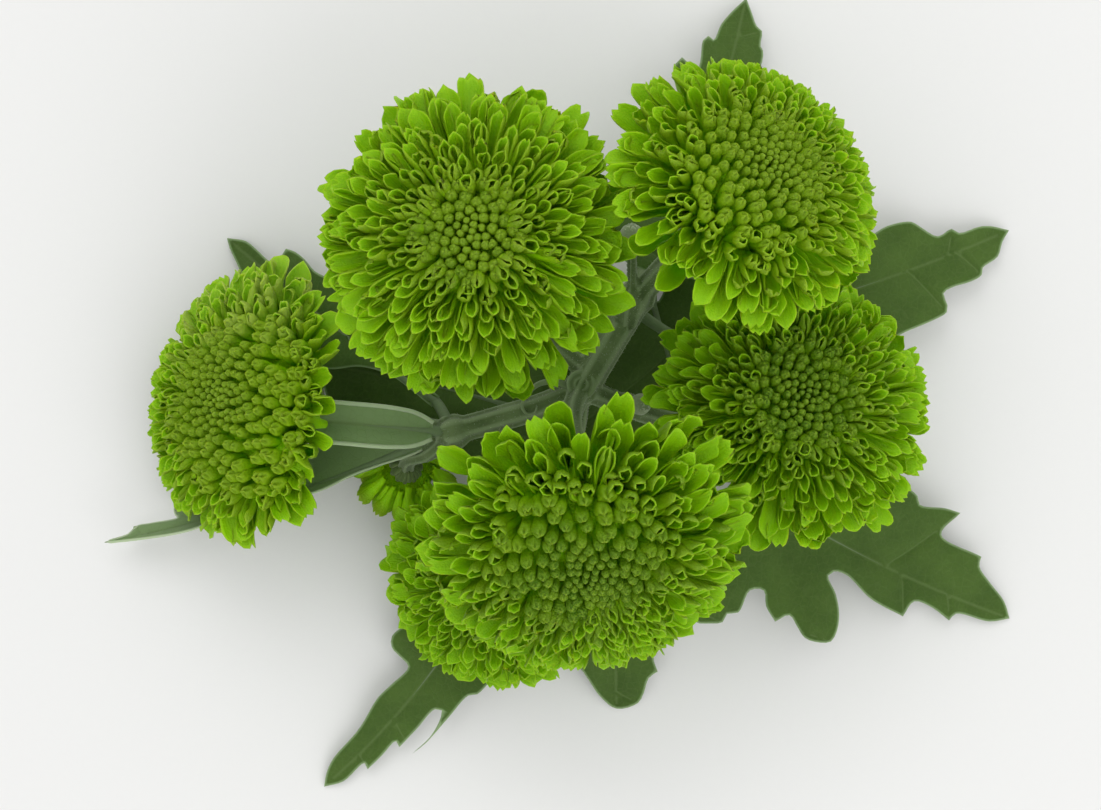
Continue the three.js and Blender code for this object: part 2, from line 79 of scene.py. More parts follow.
# Short soft hairs on a skin, each a bent three-sided spike
def addHairs(parts, points, normals, hairs, draw, **looks):
    pick = draw.choice(len(points), hairs["count"])
    foot, out = points[pick], normals[pick]
    side = unit(np.cross(out, draw.normal(size=foot.shape)))
    beside = np.cross(out, side)
    long = hairs["length"] * draw.uniform(hairs["shortest"], 1, (len(pick), 1))
    corners = [foot - hairs["sunk"] * out
               + hairs["radius"] * (math.cos(turn) * side + math.sin(turn) * beside)
               for turn in (0, 2.1, 4.2)]
    corners.append(foot + long * unit(out + hairs["slant"] * side))
    faces = np.array([[0, 1, 3], [1, 2, 3], [2, 0, 3], [0, 2, 1]])
    faces = (faces[None] + 4 * np.arange(len(pick))[:, None, None]).reshape(-1, 3)
    addPart(parts, np.stack(corners, 1).reshape(-1, 3), [faces], **looks)


def makePiece(name, parts, material, slot, *replaced):
    points = np.concatenate(parts["points"])
    points[:, 2] = np.maximum(points[:, 2], floorSkin)
    mesh = bpy.data.meshes.new(name)
    mesh.from_pydata(((points - sprayMiddle) * millimetre).tolist(), [], parts["faces"])
    for key, values in parts["looks"].items():
        layer = mesh.attributes.new(key, "FLOAT", "POINT")
        layer.data.foreach_set("value", np.concatenate(values).astype(np.float32))
    mesh.shade_smooth()
    mesh.materials.append(material)
    piece = newObject(name, mesh)
    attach(piece, "root")
    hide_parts(*replaced)


# From start to end as t goes from 0 to 1, with the given slopes at both
def cubic(t, start, end, startSlope, endSlope):
    return ((2 * t**3 - 3 * t**2 + 1) * start + (t**3 - 2 * t**2 + t) * startSlope
            + (3 * t**2 - 2 * t**3) * end + (t**3 - t**2) * endSlope)


# Points along a smooth curve through the places, about the spacing apart
def curveThrough(places, spacing):
    places = np.asarray(places, float)
    ends = np.vstack([2 * places[0] - places[1], places, 2 * places[-1] - places[-2]])
    made = []
    for before, start, end, after in zip(ends[:-3], ends[1:-2], ends[2:-1], ends[3:]):
        gap = [max(np.linalg.norm(b - a) ** 0.5, 1e-4)
               for a, b in ((before, start), (start, end), (end, after))]
        startSlope = ((start - before) / gap[0] - (end - before) / (gap[0] + gap[1])
                      + (end - start) / gap[1]) * gap[1]
        endSlope = ((end - start) / gap[1] - (after - start) / (gap[1] + gap[2])
                    + (after - end) / gap[2]) * gap[1]
        steps = max(1, round(np.linalg.norm(end - start) / spacing))
        made.append(cubic((np.arange(steps) / steps)[:, None], start, end, startSlope, endSlope))
    made.append(places[-1:])
    return np.concatenate(made)


# Directions along, beside and above a route, carried along it without twist
def routeFrames(route):
    along = unit(np.gradient(route, axis=0))
    side = unit(np.cross(along[0], [0.3, 0.2, 1.0]))
    sides = []
    for way in along:
        side = unit(side - way * np.dot(side, way))
        sides.append(side)
    return along, np.array(sides), np.cross(along, sides)


# Skin over rings of equal size, closed at both ends by a fan to the last two points
def ringFaces(rings, sides):
    index = np.arange(rings * sides).reshape(rings, sides)
    after = np.roll(index, -1, axis=1)
    skin = np.stack([index[:-1], after[:-1], after[1:], index[1:]], -1).reshape(-1, 4)
    start = np.stack([after[0], index[0], np.full(sides, rings * sides)], -1)
    end = np.stack([index[-1], after[-1], np.full(sides, rings * sides + 1)], -1)
    return [skin, start, end]


# A closed round tube along a route
def tube(route, radii, sides):
    radii = np.broadcast_to(radii, len(route))[:, None, None]
    side, up = (way[:, None, :] for way in routeFrames(route)[1:])
    turn = (np.arange(sides) * 2 * math.pi / sides)[None, :, None]
    rings = route[:, None, :] + radii * (np.cos(turn) * side + np.sin(turn) * up)
    points = np.concatenate([rings.reshape(-1, 3), route[:1], route[-1:]])
    return points, ringFaces(len(route), sides)


# A closed turned body from [radius, height] pairs that run from the foot to the top
def turned(profile, sides):
    profile = np.asarray(profile, float)
    turn = np.arange(sides) * 2 * math.pi / sides
    rings = [np.stack([r * np.cos(turn), r * np.sin(turn), np.full(sides, z)], -1) for r, z in profile]
    points = np.concatenate(rings + [[[0, 0, profile[0][1]]], [[0, 0, profile[-1][1]]]])
    return points, ringFaces(len(profile), sides)


# Two skins of rows by columns points, joined round their edge
def shellFaces(rows, columns):
    index = np.arange(rows * columns).reshape(rows, columns)
    outer = np.stack([index[:-1, :-1], index[:-1, 1:], index[1:, 1:], index[1:, :-1]], -1).reshape(-1, 4)
    inner = outer[:, ::-1] + rows * columns
    edge = np.concatenate([index[0, :-1], index[:-1, -1], index[-1, :0:-1], index[:0:-1, 0]])
    after = np.roll(edge, -1)
    rim = np.stack([after, edge, edge + rows * columns, after + rows * columns], -1)
    return [np.concatenate([outer, inner, rim])]


bladeColumns = {
    "fine": np.array([-1, -0.82, -0.6, -0.33, 0, 0.33, 0.6, 0.82, 1]),
    "coarse": np.array([-1, -0.66, -0.33, 0, 0.33, 0.66, 1]),
}
bladeRows = {
    "fine": np.array([0, 0.25, 0.47, 0.64, 0.77, 0.86, 0.92, 0.965, 1]),
    "coarse": np.array([0, 0.35, 0.62, 0.78, 0.88, 0.95, 1]),
}
bladeFaces = {key: shellFaces(len(bladeRows[key]), len(bladeColumns[key])) for key in bladeRows}

# How far the tip is cut back across the blade, from its middle to its edge, in millimetres
tipCuts = {
    "across": [0, 0.33, 0.6, 0.82, 1],
    "threeTeeth": [0.0, 0.75, 0.3, 0.85, 1.9],
    "twoTeeth": [0.95, 0.1, 0.3, 0.9, 1.9],
    "pointed": [0.0, 0.5, 1.1, 1.8, 2.6],
    "round": [0.0, 0.15, 0.5, 1.1, 2.0],
}


# The middle line of a floret or bract, in its own plane: places outward and along the flower's axis, and
# leans away from that axis, at parts along it. It leans less towards its foot by curl, bends in by hood
# over its last third and by hook at its tip, and the part at anchor stands at the tip place.
def spineAt(along, tip, length, lean, curl, hood, hook=0.0, anchor=0.9):
    fine = np.linspace(0, 1, 33)
    angle = lean - curl * (1 - fine) ** 1.3 - hood * smooth((fine - 0.65) / 0.35)
    angle = np.radians(angle - hook * smooth((fine - 0.86) / 0.12))
    step = np.array([np.sin(angle), np.cos(angle)]).T * length / 32
    spine = np.concatenate([[[0, 0]], np.cumsum((step[:-1] + step[1:]) / 2, axis=0)])
    held = [np.interp(anchor, fine, spine[:, k]) for k in range(2)]
    out = np.interp(along, fine, spine[:, 0]) - held[0] + tip[0]
    up = np.interp(along, fine, spine[:, 1]) - held[1] + tip[1]
    return out, up, np.interp(along, fine, angle)


# A floret or bract: a thin closed shell, x outward, y across and z along the flower's axis. It is a
# strip of the given width, rolled through so many degrees, and its hollow side faces the axis. Below split
# it is a tube. closed draws its tip together, lip turns the edge there in, and wave ripples its margins.
def blade(tip, detail, length, width, roll, lean, curl, cut, cutDepth, thickness, rib, hood=0.0, hook=0.0,
          closed=0.0, split=0.1, lopsided=0.0, wave=0.0, lip=0.0, phase=0.0, twist=0.0, sway=0.0,
          waist=0.5, anchor=0.9):
    columns, rows = bladeColumns[detail], bladeRows[detail]
    across = np.broadcast_to(columns, (len(rows), len(columns)))
    cutBack = np.interp(np.abs(columns), tipCuts["across"], tipCuts[cut]) * cutDepth / length
    cutBack = cutBack * (1 + lopsided * columns)
    along = rows[:, None] - cutBack * rows[:, None] ** 5
    out, up, lean = spineAt(along, tip, length, lean, curl, hood, hook, anchor)

    # how it rolls, narrows to its foot and rounds over at a closed tip
    tubeRoll = max(roll, 200 + 156 * smooth(split / 0.5))
    arc = np.radians(tubeRoll + (roll - tubeRoll) * smooth((along - split) / (1 - split)))
    narrow = np.interp(along, [0, 0.35, 0.65, 0.85, 1], [waist, 0.5 + 0.5 * waist, 0.96, 1.0, 0.9])
    capFrom = max(0.78, 1 - 0.35 * width / length)
    cap = np.sqrt(np.maximum(1 - (np.maximum(along - capFrom, 0) / (1 - capFrom)) ** 2, 0.015))
    radius = width * narrow / arc * (1 - closed * (1 - cap))

    # its ribs, waves and lip, and how thin it is
    turn = across * arc / 2
    side = radius * np.sin(turn)
    depth = radius * (1 - np.cos(turn))
    depth = depth + rib * np.cos(3 * math.pi * across) * (1 - closed) * smooth(along / 0.4)
    depth = depth + wave * np.abs(across) ** 3 * np.sin(9 * along + phase + 2 * across)
    crinkle = 0.5 + 0.5 * np.sin(phase * 5 + 7.3 * columns + 2 * np.sin(phase + 4.1 * columns))
    depth = depth + lip * crinkle * smooth((along - 0.8) / 0.2) ** 1.5
    thin = thickness * (1 - 0.55 * np.abs(across) ** 4) * (1 - 0.5 * smooth((along - 0.85) / 0.15))
    thin = np.minimum(thin, 0.8 * radius)

    spin = twist * along
    skins = []
    for inward in (0, thin):
        x, n = side - inward * np.sin(turn), depth + inward * np.cos(turn)
        x, n = x * np.cos(spin) - n * np.sin(spin), x * np.sin(spin) + n * np.cos(spin)
        place = np.stack([out - n * np.cos(lean), x + sway * length * along**2, up + n * np.sin(lean)], -1)
        skins.append(place.reshape(-1, 3))
    looks = {
        "along": np.tile(along.ravel(), 2),
        "across": np.tile(across.ravel(), 2),
        "hollow": np.repeat([0.0, 1.0], across.size),
    }
    return np.concatenate(skins), bladeFaces[detail], looks


# A young floret, still closed: a rod with a rounded cap, faint lobes, a seam on the side of the axis and
# three lips that meet at the tip, as deep as a part of the cap
def knob(tip, length, radius, lean, curl, hood, lobes, seam, lips, phase, sides):
    capTurn = np.radians([0, 24, 44, 60, 74, 86])
    capLength = min(1.7 * radius / length, 0.4)
    along = np.concatenate([[0, 0.3, 0.6], 1 - capLength * (1 - np.sin(capTurn))])[:, None]
    girth = np.concatenate([[0.5, 0.72, 0.96], np.cos(capTurn)])[:, None]
    turn = (np.arange(sides) * 2 * math.pi / sides)[None, :]
    late = smooth((along - 0.5) / 0.3)
    parted = lips * capLength * smooth((along - 1 + capLength) / capLength) ** 2
    along = along - parted * (0.5 + 0.5 * np.cos(3 * turn + phase))
    out, up, leans = spineAt(along, tip, length, lean, curl, hood, anchor=0.95)
    lump = np.cos(3 * turn + phase) + 0.6 * np.cos(5 * turn + 2 * phase)
    groove = np.exp(-((np.minimum(turn, 2 * math.pi - turn) / 0.4) ** 2))
    reach = radius * girth * (1 + lobes * late * lump - seam * late * groove)
    beside, inward = reach * np.sin(turn), reach * np.cos(turn)
    places = np.stack([out - inward * np.cos(leans), beside, up + inward * np.sin(leans)], -1)
    ends = [[out[0, 0], 0.0, up[0, 0]], [out[-1].mean(), 0.0, up[-1].mean()]]
    looks = {"along": np.append(along.ravel(), [0, 1]), "across": 0.0, "hollow": 0.0}
    return np.concatenate([places.reshape(-1, 3), ends]), ringFaces(len(girth), sides), looks


def turnedRound(points, angle):
    c, s = math.cos(angle), math.sin(angle)
    return points @ np.array([[c, s, 0], [-s, c, 0], [0, 0, 1]])


# at is the middle of a bloom's foot, and lean and toward give the way it faces. Blooms named in under lie
# over it. pale is how pale its petals are, beads how far out its florets are still closed, as a part of the
# radius, and open the share of the next ones whose mouths gape. Below zero, pale on e and f is partly
# painted shade, which darkens those blooms all over for the shadow that bloom d casts on them. late is how
# much farther out they are closed on one side, and lateAt the heading of that side in degrees. short is how
# much nearer the rim stands on one side, and shortAt the heading of that side. coarse is how large its
# florets are for its size, and rolled and upright multiply how far they roll up and lean over.
# paintedSideLight is
# painted light: how much paler its florets are painted on the side at 90 degrees, where the key lamp
# stands.
blooms = {
    "a": {"at": [-10.5, 23.9, 44], "lean": 7, "toward": 140, "radius": 23.5, "height": 14.5, "under": "b",
          "pale": 0.43, "beads": 0.35, "open": 0.15, "paintedSideLight": 0.5},
    "b": {"at": [27.2, 30.1, 45], "lean": 32, "toward": 45, "radius": 21.4, "height": 14.5, "under": "",
          "pale": 0.65, "beads": 0.5, "open": 0.4, "late": 0.14, "lateAt": -150},
    "c": {"at": [-44.3, 0, 15.6], "lean": 41, "toward": 168, "radius": 22.3, "height": 13, "under": "a",
          "pale": 0.65, "beads": 0.62, "open": 0.45, "late": 0.23, "lateAt": -20,
          "short": 0.11, "shortAt": -10, "paintedSideLight": 0.9},
    "d": {"at": [4.9, -17.8, 45.5], "lean": 38, "toward": -85, "radius": 24.4, "height": 14.5, "under": "",
          "pale": -0.12, "beads": 0.49, "open": 0.6, "late": 0.16, "lateAt": 110,
          "short": 0.17, "shortAt": -58},
    # pale below zero here is partly painted shade, darkening e all over for the shadow that bloom d casts
    # on it
    "e": {"at": [35.9, -1.1, 28], "lean": 15, "toward": 51, "radius": 21.9, "height": 14, "under": "bd",
          "pale": -0.13, "beads": 0.42, "open": 0.15},
    # pale below zero here is partly painted shade, darkening f all over for the shadow that bloom d casts
    # on it
    "f": {"at": [-7.9, -26.5, 16], "lean": 22, "toward": -133, "radius": 18.1, "height": 11, "under": "d",
          "pale": -0.45, "beads": 0.34, "open": 0.2, "coarse": 1.2, "rolled": 0.9},
    "g": {"at": [-23.2, -10.4, 7.8], "lean": 160, "toward": -120, "radius": 8.5, "height": 5, "under": "f",
          "pale": 0.5, "beads": 0.31, "open": 0.2, "rolled": 0.8, "upright": 0.62},
}

# Florets from the middle of a bloom to its rim, for a bloom of the drawnAt radius. Lengths are in
# millimetres, angles in degrees. knobs are the florets that are still closed, and their pairs are for the
# middle of a bloom and the growth towards its rim. mouths are the gaping ends of some of the next ones,
# hooks are tips folded over, and vary is how much florets differ from one another.
bloomShape = {
    "drawnAt": 23.0,
    "core": [[0.3, -0.22], [0.44, -0.1], [0.54, 0.12], [0.5, 0.42], [0.38, 0.62], [0.2, 0.71],
             [0.05, 0.7]],
    "florets": {
        "reach": [0.0, 0.12, 0.22, 0.32, 0.42, 0.55, 0.75, 1.0],
        "spacing": [1.0, 1.5, 1.9, 2.2, 2.4, 2.42, 2.4, 2.3],
        "length": [5.0, 6.0, 7.0, 8.5, 10.5, 12.5, 14.5, 17.0],
        "width": [3.0, 4.6, 5.9, 6.7, 6.6, 6.0, 5.3, 5.6],
        "roll": [356, 356, 356, 354, 344, 305, 222, 125],
        "split": [0.9, 0.9, 0.9, 0.85, 0.7, 0.5, 0.3, 0.1],
        "closed": [1.0, 1.0, 1.0, 1.0, 0.98, 0.92, 0.66, 0.25],
        "hood": [6, 12, 20, 28, 42, 46, 26, 4],
        "lean": [0, 8, 18, 33, 50, 66, 82, 98],
        "curl": [4, 10, 15, 22, 28, 31, 34, 40],
        "cutDepth": [0.0, 0.0, 0.0, 0.2, 0.5, 0.7, 1.0, 1.1],
        "thickness": [0.2, 0.25, 0.3, 0.34, 0.34, 0.32, 0.3, 0.28],
        "wave": [0.0, 0.0, 0.0, 0.0, 0.15, 0.35, 0.55, 0.7],
    },
    "knobs": {"to": 0.31, "lobes": [0.05, 0.11], "lips": [0.1, 0.7], "girth": [1.0, 0.22], "seam": 0.4,
              "slimness": 6.2, "sides": 15},
    "mouths": {"to": 0.62, "least": 0.3, "most": 0.75, "cutDepth": 0.75},
    "hooks": {"from": 0.5, "share": 0.45, "least": -30, "most": 85},
    "tips": {"threeTeeth": 0.35, "twoTeeth": 0.2, "round": 0.15, "pointed": 0.3},
    "lip": 1.1,
    "rib": 0.1,
    "mostRoll": 348,
    "leastSize": 0.6,        # florets of a small bloom are no smaller than this part of the lengths,
    "leastSpacing": 0.75,    # and stand no closer than this part of the spacing
    "room": 0.5,             # kept clear round a bloom that lies over this one,
    "mostHidden": 0.3,       # and the share of a floret that may still lie in there
    "vary": {"reach": 0.035, "heading": 0.1, "lean": 9, "length": 0.05, "width": 0.14, "roll": 0.25,
             "hood": 14, "twist": 0.75, "sway": 0.1, "lopsided": 0.5, "tone": 0.45},
}


def domeHeight(height, reach):
    dimple = 0.1 * np.maximum(0, 1 - (reach / 0.35) ** 2)
    return height * (np.maximum(0, 1 - reach**2.6) ** 0.75 - dimple)


# Rotation from the bloom's own frame to the plan, as a matrix for row vectors
def bloomTurn(bloom):
    tilt, heading = math.radians(bloom["lean"]), math.radians(bloom["toward"])
    x, y = -math.sin(heading), math.cos(heading)
    c, s = math.cos(tilt), math.sin(tilt)
    matrix = np.array([
        [c + x * x * (1 - c), x * y * (1 - c), y * s],
        [x * y * (1 - c), c + y * y * (1 - c), -x * s],
        [-y * s, x * s, c],
    ])
    return matrix.T


def inPlan(bloom, points):
    return points @ bloomTurn(bloom) + np.array(bloom["at"])


def insideBloom(points, bloom):
    room = bloomShape["room"]
    local = (points - np.array(bloom["at"])) @ bloomTurn(bloom).T
    out = np.hypot(local[:, 0], local[:, 1]) / (bloom["radius"] + room)
    above = (out**2 + (local[:, 2] / (bloom["height"] + room)) ** 2 < 1) & (local[:, 2] >= 0)
    below = (out < 1 + local[:, 2] / 8) & (local[:, 2] < 0)
    return above | below


# Parts of the radius at which florets stand, from their spacing as seen down the axis
def floretReaches(bloom):
    reach = np.linspace(0, 1, 800)
    out = bloom["radius"] * reach
    size = bloom["radius"] / bloomShape["drawnAt"]
    scale = max(size, bloomShape["leastSpacing"]) * bloom.get("coarse", 1)
    age = np.interp(reach, [0, bloom["beads"], 1], [0, bloomShape["knobs"]["to"], 1])
    florets = bloomShape["florets"]
    spacing = np.interp(0.5 * (reach + age), florets["reach"], florets["spacing"]) * scale
    each = 2 * math.pi * out / (0.87 * spacing**2)
    count = np.concatenate([[0], np.cumsum((each[1:] + each[:-1]) / 2 * np.diff(out))])
    return np.interp(np.arange(int(count[-1])) + 0.5, count, reach)


# How near a heading is to the side that the bloom gives under the key, from -1 to 1
def nearSide(bloom, key, heading):
    return math.cos(heading - math.radians(bloom.get(key, 0)))


def makeBloom(key, material):
    bloom = blooms[key]
    knobs, mouths, hooks, vary = (bloomShape[part] for part in ("knobs", "mouths", "hooks", "vary"))
    florets = dict(bloomShape["florets"])
    ages = florets.pop("reach")
    size = bloom["radius"] / bloomShape["drawnAt"]
    small = max(size, bloomShape["leastSize"]) * bloom.get("coarse", 1)
    middle = len(bladeColumns["fine"]) // 2
    draw = np.random.RandomState(ord(key))
    parts = newParts()
    core = [[r * bloom["radius"], z * bloom["height"]] for r, z in bloomShape["core"]]
    points, faces = turned(core, 32)
    addPart(parts, inPlan(bloom, points), faces, along=0.1, across=0.0, hollow=0.0, tone=0.3, reach=0.3)
    for i, base in enumerate(floretReaches(bloom)):
        reach = base * (0.985 + vary["reach"] * base * draw.uniform(-1, 1))
        heading = i * goldenTurn + draw.uniform(-1, 1) * vary["heading"]
        reach *= 1 - bloom.get("short", 0) * max(nearSide(bloom, "shortAt", heading), 0) ** 4
        beads = bloom["beads"] + bloom.get("late", 0) * nearSide(bloom, "lateAt", heading)
        age = np.interp(base, [0, beads, 1], [0, knobs["to"], 1])
        look = {name: np.interp(age, ages, values) for name, values in florets.items()}
        sway, twist, spread, lopsided = draw.uniform(-1, 1, 4)
        droop, hood, stretch = draw.normal(0, 1, 3)
        cut = draw.choice(list(bloomShape["tips"]), p=list(bloomShape["tips"].values()))
        tone, phase = vary["tone"] * draw.uniform(0, 1) + 0.75 * bloom["pale"], draw.uniform(0, 6.3)
        # painted light: florets towards the side at 90 degrees, where the key lamp stands, get a higher
        # tone, so they are painted paler there
        tone += bloom.get("paintedSideLight", 0) * base * max(math.sin(heading), 0)
        chance, fold = draw.uniform(0, 1, 2)
        hook = 0.0
        if knobs["to"] < age < mouths["to"] and chance < bloom["open"]:
            closed = mouths["least"] + (mouths["most"] - mouths["least"]) * fold
            look.update(closed=closed, cutDepth=mouths["cutDepth"])
            cut = "threeTeeth"
        elif base > hooks["from"] and chance > 1 - hooks["share"]:
            hook = hooks["least"] + (hooks["most"] - hooks["least"]) * fold
        look["roll"] *= bloom.get("rolled", 1)
        look["lean"] *= bloom.get("upright", 1)
        tip = [bloom["radius"] * reach, float(domeHeight(bloom["height"], min(reach, 1)))]
        lean = look["lean"] + vary["lean"] * droop * max(base, 0.3)
        if age < knobs["to"]:
            girth, lobes, lips = (knobs[k][0] + knobs[k][1] * base for k in ("girth", "lobes", "lips"))
            points, faces, looks = knob(
                tip=tip,
                length=look["length"] * size,
                radius=look["width"] / knobs["slimness"] * small * (1 + vary["width"] * spread) * girth,
                lean=lean,
                curl=look["curl"],
                hood=look["hood"],
                lobes=lobes,
                lips=lips,
                seam=knobs["seam"] * chance,
                phase=phase,
                sides=knobs["sides"],
            )
        else:
            points, faces, looks = blade(
                tip=tip,
                detail="fine",
                length=look["length"] * size * (1 + vary["length"] * stretch),
                width=look["width"] * small * (1 + vary["width"] * spread),
                roll=min(look["roll"] * (1 + vary["roll"] * spread), bloomShape["mostRoll"]),
                split=look["split"],
                lopsided=vary["lopsided"] * lopsided,
                lean=lean,
                curl=look["curl"],
                hood=look["hood"] + vary["hood"] * hood * base,
                hook=hook,
                closed=look["closed"],
                cut=cut,
                cutDepth=look["cutDepth"] * small,
                thickness=look["thickness"] * small,
                wave=look["wave"] * small,
                lip=bloomShape["lip"] * small * fold,
                phase=phase,
                twist=vary["twist"] * twist * base,
                sway=vary["sway"] * sway * base,
                rib=bloomShape["rib"] * small,
            )
        points = inPlan(bloom, turnedRound(points, heading))
        hidden = [insideBloom(points[::middle], blooms[other]).mean() for other in bloom["under"]]
        if max(hidden, default=0) <= bloomShape["mostHidden"]:
            addPart(parts, points, faces, tone=tone, reach=base, **looks)
    makePiece(f"bloomHead_{key}", parts, material, "florets", f"bloom_{key}")


# Rows of bracts round a cup or a bud. size multiplies every length, and draws is how many random numbers
# each bract takes: with five, one is for its width.
def addBracts(parts, stand, shape, size, draw):
    vary = shape["vary"]
    for k, row in enumerate(shape["rows"]):
        for i in range(row["count"]):
            stretch, *spread, droop, aside, shade = draw.uniform(-1, 1, shape["draws"])
            points, faces, looks = blade(
                tip=np.array(row["tip"]) * size,
                detail=shape["detail"],
                length=row["length"] * size * (1 + vary["length"] * stretch),
                width=row["width"] * size * (1 + vary["width"] * sum(spread)),
                roll=shape["roll"],
                lean=row["lean"] + vary["lean"] * droop,
                curl=row["curl"],
                cut="pointed",
                cutDepth=shape["cutDepth"] * size,
                thickness=shape["thickness"] * size,
                waist=shape["waist"],
                rib=shape["rib"],
                anchor=1.0,
            )
            heading = 2 * math.pi * (i + 0.5 * (k % 2)) / row["count"] + vary["heading"] * aside
            addPart(parts, inPlan(stand, turnedRound(points, heading)), faces,
                    tone=0.5 + 0.5 * shade, **looks)


# Bracts wrap the cup behind each bloom, given for a bloom of the drawnAt radius
cupShape = {
    "drawnAt": 22.0,
    "depth": 9.0,
    "body": [[1.9, -9.0], [3.9, -8.0], [5.6, -6.4], [6.3, -4.7], [5.9, -3.6], [3.0, -3.2]],
    "rows": [
        {"count": 8, "tip": [5.7, -6.1], "length": 4.6, "width": 3.0, "lean": 22, "curl": -58},
        {"count": 10, "tip": [6.9, -4.7], "length": 6.0, "width": 3.2, "lean": 16, "curl": -66},
        {"count": 11, "tip": [7.1, -3.5], "length": 6.6, "width": 3.3, "lean": 10, "curl": -72},
    ],
    "vary": {"length": 0.08, "width": 0.1, "lean": 5, "heading": 0.06},
    "draws": 5,
    "detail": "fine",
    "roll": 70,
    "thickness": 0.26,
    "cutDepth": 0.75,
    "waist": 0.6,
    "rib": 0.05,
}


def makeCup(key, material):
    bloom = blooms[key]
    scale = bloom["radius"] / cupShape["drawnAt"]
    parts = newParts()
    points, faces = turned(np.array(cupShape["body"]) * scale, 28)
    addPart(parts, inPlan(bloom, points), faces, along=0.3, across=0.0, hollow=0.0, tone=0.4)
    addBracts(parts, bloom, cupShape, scale, np.random.RandomState(ord(key) + 40))
    makePiece(f"bractRows_{key}", parts, material, "bracts", f"bract_cup_{key}")


# A place on the bloom's axis, a given way behind the foot of its cup
def behindCup(bloom, distance):
    depth = cupShape["depth"] * bloom["radius"] / cupShape["drawnAt"] + 0.3 + distance
    return inPlan(bloom, np.array([0, 0, -depth]))


stemNodes = {"first": [4.9, 2.6, 19], "upper": [13.3, 16.6, 25], "left": [-15.2, -4.2, 20.5]}
branches = [
    {"radius": 2.5, "route": [stemNodes["first"], [9, 9.5, 14.5], [14.5, 19, 8], [20, 29, 3.2],
                              [23, 35, 2.2], [26, 41, 2.2]]},
    {"radius": 2.4, "route": [stemNodes["first"], [9.3, 10, 22], stemNodes["upper"]]},
    {"radius": 1.8, "route": [stemNodes["upper"], [19, 22.5, 29.5]], "bloom": "b"},
    {"radius": 1.6, "route": [[6, 5, 19.5], [-1, 11, 20], [-8, 18, 25]], "bloom": "a"},
    {"radius": 1.9, "route": [stemNodes["first"], [-1, 0, 19.5], [-8.5, -2.3, 20], stemNodes["left"]]},
    {"radius": 1.6, "route": [stemNodes["left"], [-24, -3, 13], [-31, -2.6, 6]], "bloom": "c"},
    {"radius": 1.2, "route": [stemNodes["left"], [-19, -7.5, 17.5]], "bloom": "g"},
    {"radius": 1.7, "route": [stemNodes["first"], [3.2, -1.5, 25], [3.8, -7.5, 32]], "bloom": "d"},
    {"radius": 1.7, "route": [stemNodes["first"], [13, -0.5, 15.5], [24, -3.5, 12.5], [31.5, -3.6, 13]],
     "bloom": "e"},
    {"radius": 1.5, "route": [stemNodes["first"], [3.5, -6, 13], [0, -14, 5.5], [-3.2, -20.5, 3.2]],
     "bloom": "f"},
    {"radius": 0.8, "route": [[12, 14, 24.5], [12.4, 19, 27]], "bud": "upper"},
    {"radius": 0.9, "route": [[9.5, 0.9, 16.8], [12, 1, 19]], "bud": "lower"},
]
stemShape = {
    "swelling": 2.8,         # radius at a node
    "flare": 0.18,           # how much thicker a flower stalk is under its cup
    "voxel": 0.4,
    "softening": 5,
    "ridges": 6,
    "ridgeHeight": 0.19,
    "scarAt": [4.8, 3.2, 21.7],
    "scar": [[1.6, -2.6], [2.1, -0.9], [2.35, 0.0], [2.3, 0.3], [2.05, 0.42], [1.8, 0.3], [1.6, 0.12],
             [1.3, 0.1], [1.15, 0.26], [0.95, 0.3], [0.75, 0.12], [0.5, -0.12], [0.1, -0.2]],
    "pithRadius": 1.3,
    "pithDepth": 0.35,
    "curl": [[3.4, 2.4, 20.5], [0.9, 3.6, 21.6], [-1.9, 3.2, 22.4], [-3.6, 1.6, 22.6], [-4.4, -0.2, 22.0],
             [-3.6, -1.4, 21.6], [-2.4, -1.2, 21.9], [-2.1, -0.2, 22.3]],
    "curlRadius": 0.38,
    "hairs": {"count": 5200, "length": 0.55, "shortest": 0.4, "radius": 0.03, "sunk": 0.05, "slant": 0.9},
}
buds = {
    "upper": {"at": [12.3, 25.4, 31], "radius": 2.2},
    "lower": {"at": [13.9, 0.1, 22.4], "radius": 1.8},
}


def branchRoute(branch):
    route = list(branch["route"])
    if "bloom" in branch:
        bloom = blooms[branch["bloom"]]
        route += [behindCup(bloom, 3), behindCup(bloom, -1.2)]
    if "bud" in branch:
        bud = buds[branch["bud"]]
        way = unit(np.array(bud["at"]) - route[-1])
        route.append(np.array(bud["at"]) - 0.6 * bud["radius"] * way)
    return curveThrough(route, 0.7)


# The tubes of the parts grown into one skin
def grownTogether(parts, voxel, softening):
    rough = bpy.data.meshes.new("rough")
    rough.from_pydata(np.concatenate(parts["points"]).tolist(), [], parts["faces"])
    body = newObject("rough", rough)
    remesh = body.modifiers.new("remesh", "REMESH")
    remesh.mode = "VOXEL"
    remesh.voxel_size = voxel
    soften = body.modifiers.new("soften", "SMOOTH")
    soften.iterations = softening
    skin = bpy.data.meshes.new_from_object(body.evaluated_get(bpy.context.evaluated_depsgraph_get()))
    bpy.data.objects.remove(body)
    points, normals = np.empty(len(skin.vertices) * 3), np.empty(len(skin.vertices) * 3)
    skin.vertices.foreach_get("co", points)
    skin.vertices.foreach_get("normal", normals)
    corners = np.empty(len(skin.polygons) * 4, int)
    skin.polygons.foreach_get("vertices", corners)
    return points.reshape(-1, 3), normals.reshape(-1, 3), corners.reshape(-1, 4)


